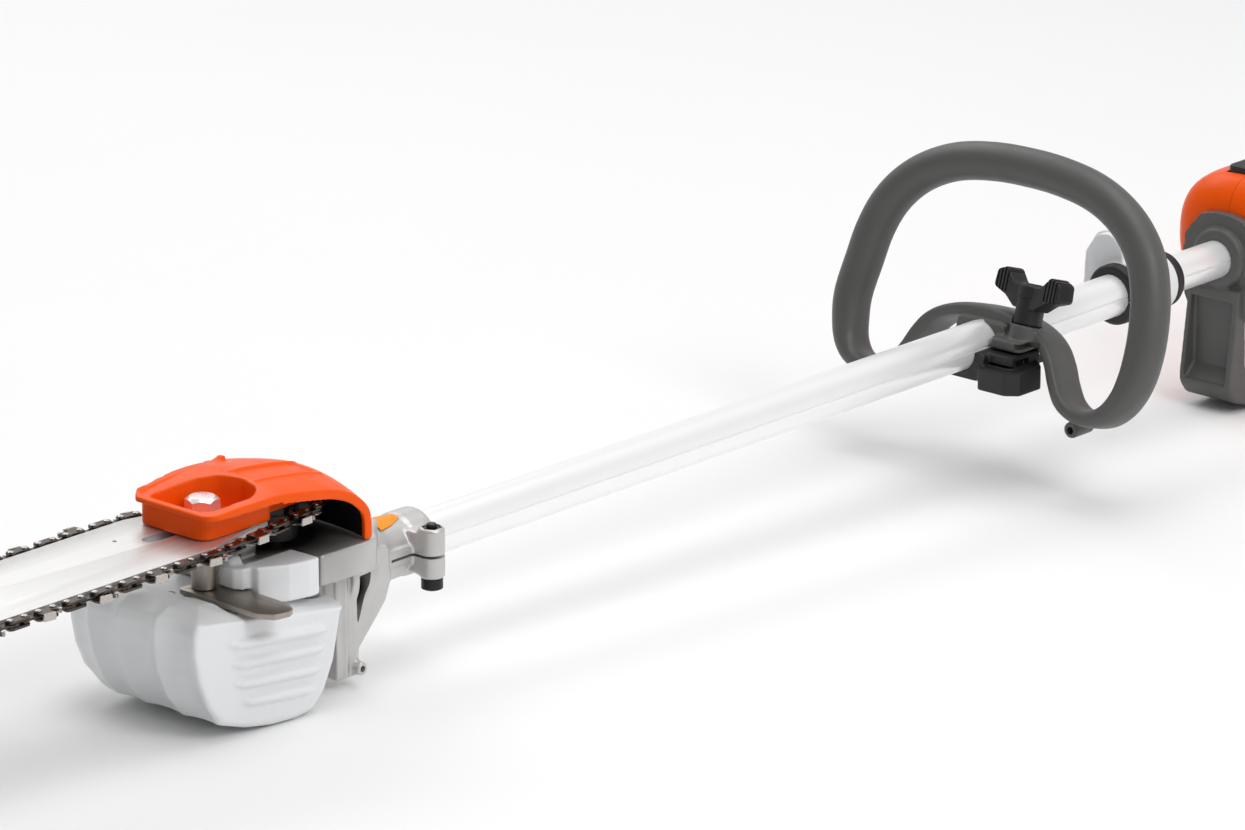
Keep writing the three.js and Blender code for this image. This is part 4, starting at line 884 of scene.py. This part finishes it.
# ---- telescope lock
def make_lock():
    x = LOCK_X
    ring = join(lathe([(x, 17.4), (x + 1.4, 18.8), (x + 6.6, 19), (x + 8, 18.2)], count=72),
                block(x, x + 7.6, -22, -16, -7, 2))
    soften(ring, 0.6, 2)
    cut(ring, rod(TUBE_BORE, x - 1, x + 9, count=96), block(x - 1, x + 4, -24, -10, -3.4, -1.4))
    place(ring, "lock_front_ring", "boom", "dark_plastic", "front_ring", sharp=50)

    def ear(x0, x1):
        return slab([(-2, 8), (25, 8), (26, 24), (20, 33), (9, 35.4), (0, 28)], [3, 3, 8, 8, 9, 12],
                    x0, x1, "x")

    body = join(lathe([(x + 8.4, 18.4), (x + 10, 19), (x + 42, 19), (x + 43.8, 18.2)], count=72),
                ear(x + 9.6, x + 16.9), ear(x + 35.1, x + 42.4))
    soften(body, 0.8, 4)
    cut(body, rod(TUBE_BORE, x + 8, x + 14.3, count=96), rod(INNER_BORE, x + 8, x + 46, count=96),
        rod(2.8, x + 11.6, x + 40.4, "x", *LEVER_PIN, 24))
    place(rod(2.5, x + 12, x + 40, "x", *LEVER_PIN, 24), "lock_pivot_pin", "boom", "steel", "lever_pin")
    place(body, "lock_body_moulding", "boom", "white_plastic", "lock_body", sharp=50)
    rear = lathe([(x + 44.4, 17.4), (x + 45.4, 18.2), (x + 49.4, 17.8), (x + 51.8, 16.6)], count=72)
    cut(rear, rod(INNER_BORE, x + 40, x + 70, count=96))
    place(rear, "lock_rear_ring", "boom", "dark_plastic", "rear_ring")
    lever = slab([(3.4, 22.2), (3.4, 30), (8, 34.6), (16, 34.8), (25, 32), (34, 18), (35.4, -8), (31, -17),
                  (27, -9), (25, 12), (20, 17.4), (8, 17.4)], [3, 4, 6, 6, 8, 8, 6, 3, 3, 5, 3, 3],
                 x + 17.3, x + 34.7, "x")
    soften(lever, 0.7, 3)
    cut(lever, rod(2.8, x + 9, x + 43, "x", *LEVER_PIN, 24))
    place(lever, "lock_lever_moulding", "lock_lever", "white_plastic", "lock_lever", sharp=50)


# ---- drive unit
FLOOR_SLOPE = math.tan(math.asin(ALONG.z))


def floor_at(x):
    """Height of the floor under a place on the pole's axis, in the saw's own frame."""
    return span_foot.z - FLOOR_SLOPE * (x - span_foot.x)


foot_low, foot_high = span("foot")
span_foot = Vector((foot_low.x, 0, foot_low.z + (foot_high.x - foot_low.x) * FLOOR_SLOPE))
FOOT_THICK = 5.0

UNIT_STATIONS = [  # x from the front face, half-width, top, bottom (None: just above the foot), squareness
    (4.9, 31, 28, -24, 2.6), (8, 38, 37, -26, 2.6), (14, 43.5, 44, -28, 2.6), (24, 46, 47.6, -28.4, 2.7),
    (44, 46, 48.6, -28.6, 2.8), (60, 43, 47.4, -28, 2.7), (72, 34, 40, -27, 2.5), (84, 24, 30.6, -26, 2.4),
    (98, 20, 26.4, -25, 2.4), (130, 19.4, 25.4, -24.6, 2.4), (170, 19.6, 25.8, -25.4, 2.4),
    (190, 21.5, 30, -31, 2.6), (204, 30, 42, -56, 3.2), (216, 40, 54, -84, 5), (230, 45.4, 60, None, 7),
    (260, 46, 61, None, 8), (330, 46, 61, None, 8), (398, 45.4, 60.4, None, 8), (400.6, 44, 59, None, 8)]


def unit_sections(inset=0.0):
    """The drive unit's sections from front to rear, drawn in by inset."""
    run = []
    for x, half, top, bottom, power in UNIT_STATIONS:
        if bottom is None:
            bottom = floor_at(DRIVE_X + x) + FOOT_THICK
        run.append((x, half - inset, top - inset, bottom + inset, power))
    return curve_through(run, 4)


def unit_blank(inset=0.0):
    return loft([[(DRIVE_X + x, y, (top + bottom) / 2 + z)
                  for y, z in superellipse(half, (top - bottom) / 2, power, 64)]
                 for x, half, top, bottom, power in unit_sections(inset)])


def shell_half_width(x, z):
    """How far the drive unit's surface is from its middle plane, at a place on its side."""
    section = min(unit_sections(), key=lambda s: abs(s[0] - x))
    half, top, bottom, power = section[1:]
    rise = abs(z - (top + bottom) / 2) / ((top - bottom) / 2)
    return half * max(0.0, 1 - min(1.0, rise) ** power) ** (1 / power)


def make_unit_shells():
    d = DRIVE_X
    shell = unit_blank()
    hollow = cut(unit_blank(2.6),
                 block(d + 4, d + 8, -60, 60, -60, 60), block(d + 60, d + 64, -60, 60, -40, 60),
                 block(d + 216, d + 219, -60, 60, -140, 70), block(d + 302, d + 306, -60, 60, -140, 70),
                 block(d + 397.4, d + 402, -60, 60, -140, 70))
    cut(shell, hollow, block(d + 306, d + 420, -40, 40, -98, 52), rod(INNER_BORE, d - 10, d + 70, count=72),
        rod(8, d + 60, d + 230), block(d + 24, d + 66, -17, 17, 40, 62),
        block(d + 300, d + 308, -10.3, 10.3, 39.7, 43.3), block(d + 100, d + 142, -7, 7, 18, 32),
        block(d + 96, d + 136, -7, 7, -30, -18))
    for k in range(6):
        vent = [(d + 236 + 10 * k, -8), (d + 241 + 10 * k, -8), (d + 247 + 10 * k, 28),
                (d + 242 + 10 * k, 28)]
        cut(shell, slab(vent, 2, -60, 60, "y"))
    # The two halves meet on the middle plane, each with screws sunk in its side.
    screws = []
    for side, name in ((1, "left"), (-1, "right")):
        half = new_object("form", shell.data.copy())
        keep = block(d - 30, d + 430, *sorted((side * 0.18, side * 80)), -150, 100)
        overlap(half, keep)
        for x, z in ((16, -14), (70, -16), (206, 6), (212, -52), (292, 50), (292, -78), (238, -78)):
            wide = max(12.0, shell_half_width(x, z))
            cut(half, rod(4.2, *sorted((side * (wide - 3.0), side * 60)), "y", d + x, z, 28))
            screws.append(rod(3.6, *sorted((side * (wide - 4.2), side * (wide - 2.4))), "y", d + x, z, 28,
                              chamfer=0.4))
        place(half, f"{name}_unit_shell", "drive_unit", "orange_shell", f"{name}_shell", sharp=40)
    bpy.data.objects.remove(shell)
    place(merged(screws), "unit_shell_screws", "drive_unit", "black_screw")


def make_hand_guard():
    d = DRIVE_X
    face = slab([(-31, -20), (-28, 12), (-16, 26), (-6, 28), (6, 28), (16, 26), (28, 12), (31, -20),
                 (23, -38), (-23, -38)], 6, d - 2, d + 5, "x")
    collar = lathe([(d - 7, 17.4), (d - 5, 19.4), (d + 1, 20.6)], count=72)
    bar = slab([(d - 16, -80), (d - 8, -90), (d + 14, -96), (d + 120, -100.5), (d + 196, -103.6),
                (d + 216, -102.4), (d + 216, -95), (d + 196, -92), (d + 120, -90.6), (d + 22, -87),
                (d + 2, -74), (d - 1, -18), (d - 8, -18)],
               [12, 12, 20, 20, 20, 2, 2, 20, 20, 20, 14, 3, 3], -19.5, 19.5, "y")
    guard = join(face, collar, bar)
    scoop = loft([[(d - 16 + dx, y, z) for dx, z in ((-12, -27), (11.4, -25), (11.4, -70), (3, -78),
                                                     (-12, -80))] for y in (-15.5, 16.5)])
    cut(guard, scoop)
    soften(guard, 0.9, 3)
    cut(guard, rod(INNER_BORE, d - 10, d + 10, count=72))
    place(guard, "front_hand_guard", "drive_unit", "grey_plastic", "hand_guard", sharp=50)


def make_controls():
    d = DRIVE_X
    keys = pad(d + 24.6, d + 65.4, -16.4, 16.4, 5, 42.2, 51.4)
    chamfered(keys, 1.2, 3)
    cut(keys, rod(6.3, 41, 60, "z", d + 36, 0), rod(6.3, 41, 60, "z", d + 54, 0))
    join(keys, *[lathe([(49, 1.2), (51.8, 1.2), (52, 0.9)], "z", d + 45, y, 16)
                 for y in (-9, -4.5, 0, 4.5, 9)])
    place(keys, "keypad_panel", "drive_unit", "dark_plastic", "keypad")
    for name, x in (("power_button", 36), ("mode_button", 54)):
        button = lathe([(44.2, 5.6), (51, 6), (52.4, 5.4), (52.8, 3.2), (52.5, 0.2)], "z", d + x, 0, 40)
        place(button, f"{name}_cap", name, "grey_plastic", name)

    low, high = span("grip_pad")
    rings = []
    for x in sweep(low.x - d, high.x - low.x, 24):
        half = shell_half_width(x, 0)
        end = min(1.0, (x - (low.x - d)) / 4 + 0.3, ((high.x - d) - x) / 4 + 0.3)
        rings.append([(d + x, (half + 2.2 * end) * math.sin(a), 0.4 + (27.4 + 2.4 * end) * math.cos(a))
                      for a in map(math.radians, sweep(-104, 208, 40))]
                     + [(d + x, (half - 0.4) * math.sin(a), 0.4 + 25.2 * math.cos(a))
                        for a in map(math.radians, sweep(104, -208, 40))])
    soft = loft(rings)
    cut(soft, block(d + 99, d + 143, -8, 8, 15, 45))
    for k in range(9):
        x = d + 148 + 4.6 * k
        cut(soft, cut(block(x, x + 1.6, -30, 30, -12, 40),
                      prism(superellipse(20.9, 28.6, 2.3, 48), x - 1, x + 3, "x")))
    place(soft, "grip_overmould", "drive_unit", "soft_grip", "grip_pad")

    lock = slab([(138, 12), (141, 22), (132, 33), (110, 36.4), (107, 32), (114, 24), (128, 10)], 3,
                -6.4, 6.4, "y")
    moved(lock, Matrix.Translation((d, 0, 0)))
    chamfered(lock, 1.2, 3)
    cut(lock, rod(2.3, -10, 10, "y", d + 134, 17, 24))
    place(lock, "lockout_lever", "lockout", "dark_plastic", "lockout")
    trigger = slab([(98, -10), (132, -14), (131, -30), (122, -50), (112, -52.5), (109, -44), (104, -30),
                    (98, -22)], [3, 3, 8, 4, 3, 10, 6, 3], -6.4, 6.4, "y")
    moved(trigger, Matrix.Translation((d, 0, 0)))
    chamfered(trigger, 1.6, 3)
    cut(trigger, rod(2.3, -10, 10, "y", d + 104, -16, 24))
    place(trigger, "throttle_trigger", "trigger", "orange_shell", "trigger")


def make_foot():
    x0, x1 = foot_low.x, foot_high.x
    rings = []
    for share, grow in ((0, -1.6), (0.35, 0), (1, 0)):
        rings.append([(x, y, floor_at(x) + share * 4.7)
                      for x, y in rounded([(x0 - grow, -40 - grow), (x1 + grow, -40 - grow),
                                           (x1 + grow, 40 + grow), (x0 - grow, 40 + grow)], 7)])
    foot = loft(rings)
    for k in range(9):
        x = x0 + 14 + 17 * k
        cut(foot, prism([(x, floor_at(x) - 2), (x + 5, floor_at(x + 5) - 2), (x + 4, floor_at(x) + 1.4),
                         (x + 1, floor_at(x) + 1.4)], -60, 60, "y"))
    place(foot, "rubber_foot", "drive_unit", "soft_grip", "foot")


def make_battery():
    d = DRIVE_X
    case = join(pad(-37.8, 37.8, -95.6, 49.6, 6, d + 308.4, d + 402, "x"),
                chamfered(pad(-44, 44, -100, 57, 9, d + 401, d + 412, "x"), 2.4, 3))
    cut(case, block(d + 300, d + 320, -14, 14, 17, 60),
        chamfered(block(d + 405, d + 420, -26, 26, -62, -18), 2), block(d + 403, d + 420, -9, 9, 25, 40))
    for k in range(5):
        cut(case, block(d + 411, d + 414, -34, 34, -72 - 4.4 * k, -70.2 - 4.4 * k))
    for side in (-1, 1):
        notch = [(side * 45, 10), (side * 41.5, 8), (side * 41.5, -10), (side * 45, -12)]
        cut(case, prism(notch, d + 400, d + 415, "x"))
    place(case, "battery_case", "battery", "dark_plastic", "battery_pack")
    latch = chamfered(block(d + 406, d + 413.8, -8.5, 8.5, 25.5, 39.5), 0.9, 3)
    for k in range(3):
        cut(latch, block(d + 413.2, d + 415, -6.5, 6.5, 29 + 3 * k, 30 + 3 * k))
    place(latch, "battery_latch_button", "battery_latch", "orange_shell", "battery_latch")
    lamps = merged([rod(1.5, d + 411.6, d + 412.5, "x", y, 12, 20) for y in (-9, -3, 3, 9)])
    place(lamps, "battery_charge_lamps", "battery", "white_plastic")


# ---- everything
make_pole()
make_gear_housing()
make_label()
make_clamp_screw()
make_bar()
make_chain()
make_sprocket()
make_cover()
make_bolt_and_hook()
make_tank()
make_loop_handle()
make_handle_clamp()
make_knob()
make_lock()
make_unit_shells()
make_hand_guard()
make_controls()
make_foot()
make_battery()

for subpart in frame["record"]["subparts"]:
    node = frame["nodes"][subpart["node"]]
    node.data.materials.clear()
    node.data.materials.append(SLOT_FINISH[subpart["material_slot"]])
    if not node.hide_render:
        node.data.polygons.foreach_set("use_smooth", [True] * len(node.data.polygons))
        node.data.set_sharp_from_angle(angle=math.radians(35))


# ---- floor, light and camera
def make_floor():
    made = form([(-6, -6, 0), (6, -6, 0), (6, 6, 0), (-6, 6, 0)], [(0, 1, 2, 3)])
    made.name = "studio_floor"
    made.data.materials.append(surface("studio floor", (0.9, 0.9, 0.9), 0.85, mottle=0.01, mottle_scale=3.0,
                                       grain=0.02, grain_scale=80.0))


def make_light(name, location, target, size, power):
    lamp = bpy.data.lights.new(name, "AREA")
    lamp.shape = "RECTANGLE"
    lamp.size, lamp.size_y = size
    lamp.energy = power
    made = new_object(name, lamp)
    made.location = location
    made.rotation_euler = (Vector(target) - Vector(location)).to_track_quat("-Z", "Y").to_euler()


def make_world():
    world = bpy.data.worlds.new("studio")
    bpy.context.scene.world = world
    world.use_nodes = True
    sky = add_node(world, "TexCoord", {}).outputs["Generated"]
    split = add_node(world, "SeparateXYZ", {"Vector": sky})
    height = add_node(world, "ValToRGB", {"Fac": split.outputs["Z"]})
    stops = height.color_ramp.elements
    stops[0].color = (0.95, 0.95, 0.95, 1)
    stops[1].color = (0.94, 0.95, 0.97, 1)
    for position, grey in ((0.28, 0.92), (0.5, 0.68), (0.7, 0.92)):
        stops.new(position).color = (grey, grey, grey, 1)
    # The studio is dimmer ahead of the bar's nose, so faces turned that way fall into shade.
    ahead = remap(world, split.outputs["X"], -1.0, 0.1, 0.22, 1.0)
    light = blend(world, 1.0, height.outputs["Color"], ahead, blend_type="MULTIPLY")
    feed(world, world.node_tree.nodes["Background"], {"Color": light, "Strength": 0.82})


def make_camera():
    lens = bpy.data.cameras.new("view")
    lens.sensor_width = 36
    lens.lens = 187.08
    lens.clip_end = 50
    made = new_object("view", lens)
    azimuth, elevation = math.radians(-48), math.radians(17.8)
    back = Vector((math.sin(azimuth) * math.cos(elevation), -math.cos(azimuth) * math.cos(elevation),
                   math.sin(elevation)))
    right = Vector((math.cos(azimuth), math.sin(azimuth), 0))
    turn = Matrix((right, back.cross(right), back)).transposed().to_4x4()
    stance = Matrix((ALONG, SIDE, UP)).transposed().to_4x4()
    made.matrix_world = Matrix.Translation(PLACE @ Vector((-2410.0, -2302.8, 1134.6))) @ stance @ turn
    bpy.context.scene.camera = made


make_floor()
make_world()
make_light("key_light", (-0.5, -2.2, 2.0), (0.1, 0, 0.1), (1.2, 1.0), 22)
make_light("rear_light", (0.6, 2.2, 2.0), (0, 0, 0.1), (2.4, 0.8), 16)
make_light("top_light", (0.1, -0.2, 2.8), (0, 0, 0), (2.6, 1.6), 27)
make_camera()
bpy.context.scene.view_settings.view_transform = "Standard"

bpy.context.view_layer.update()
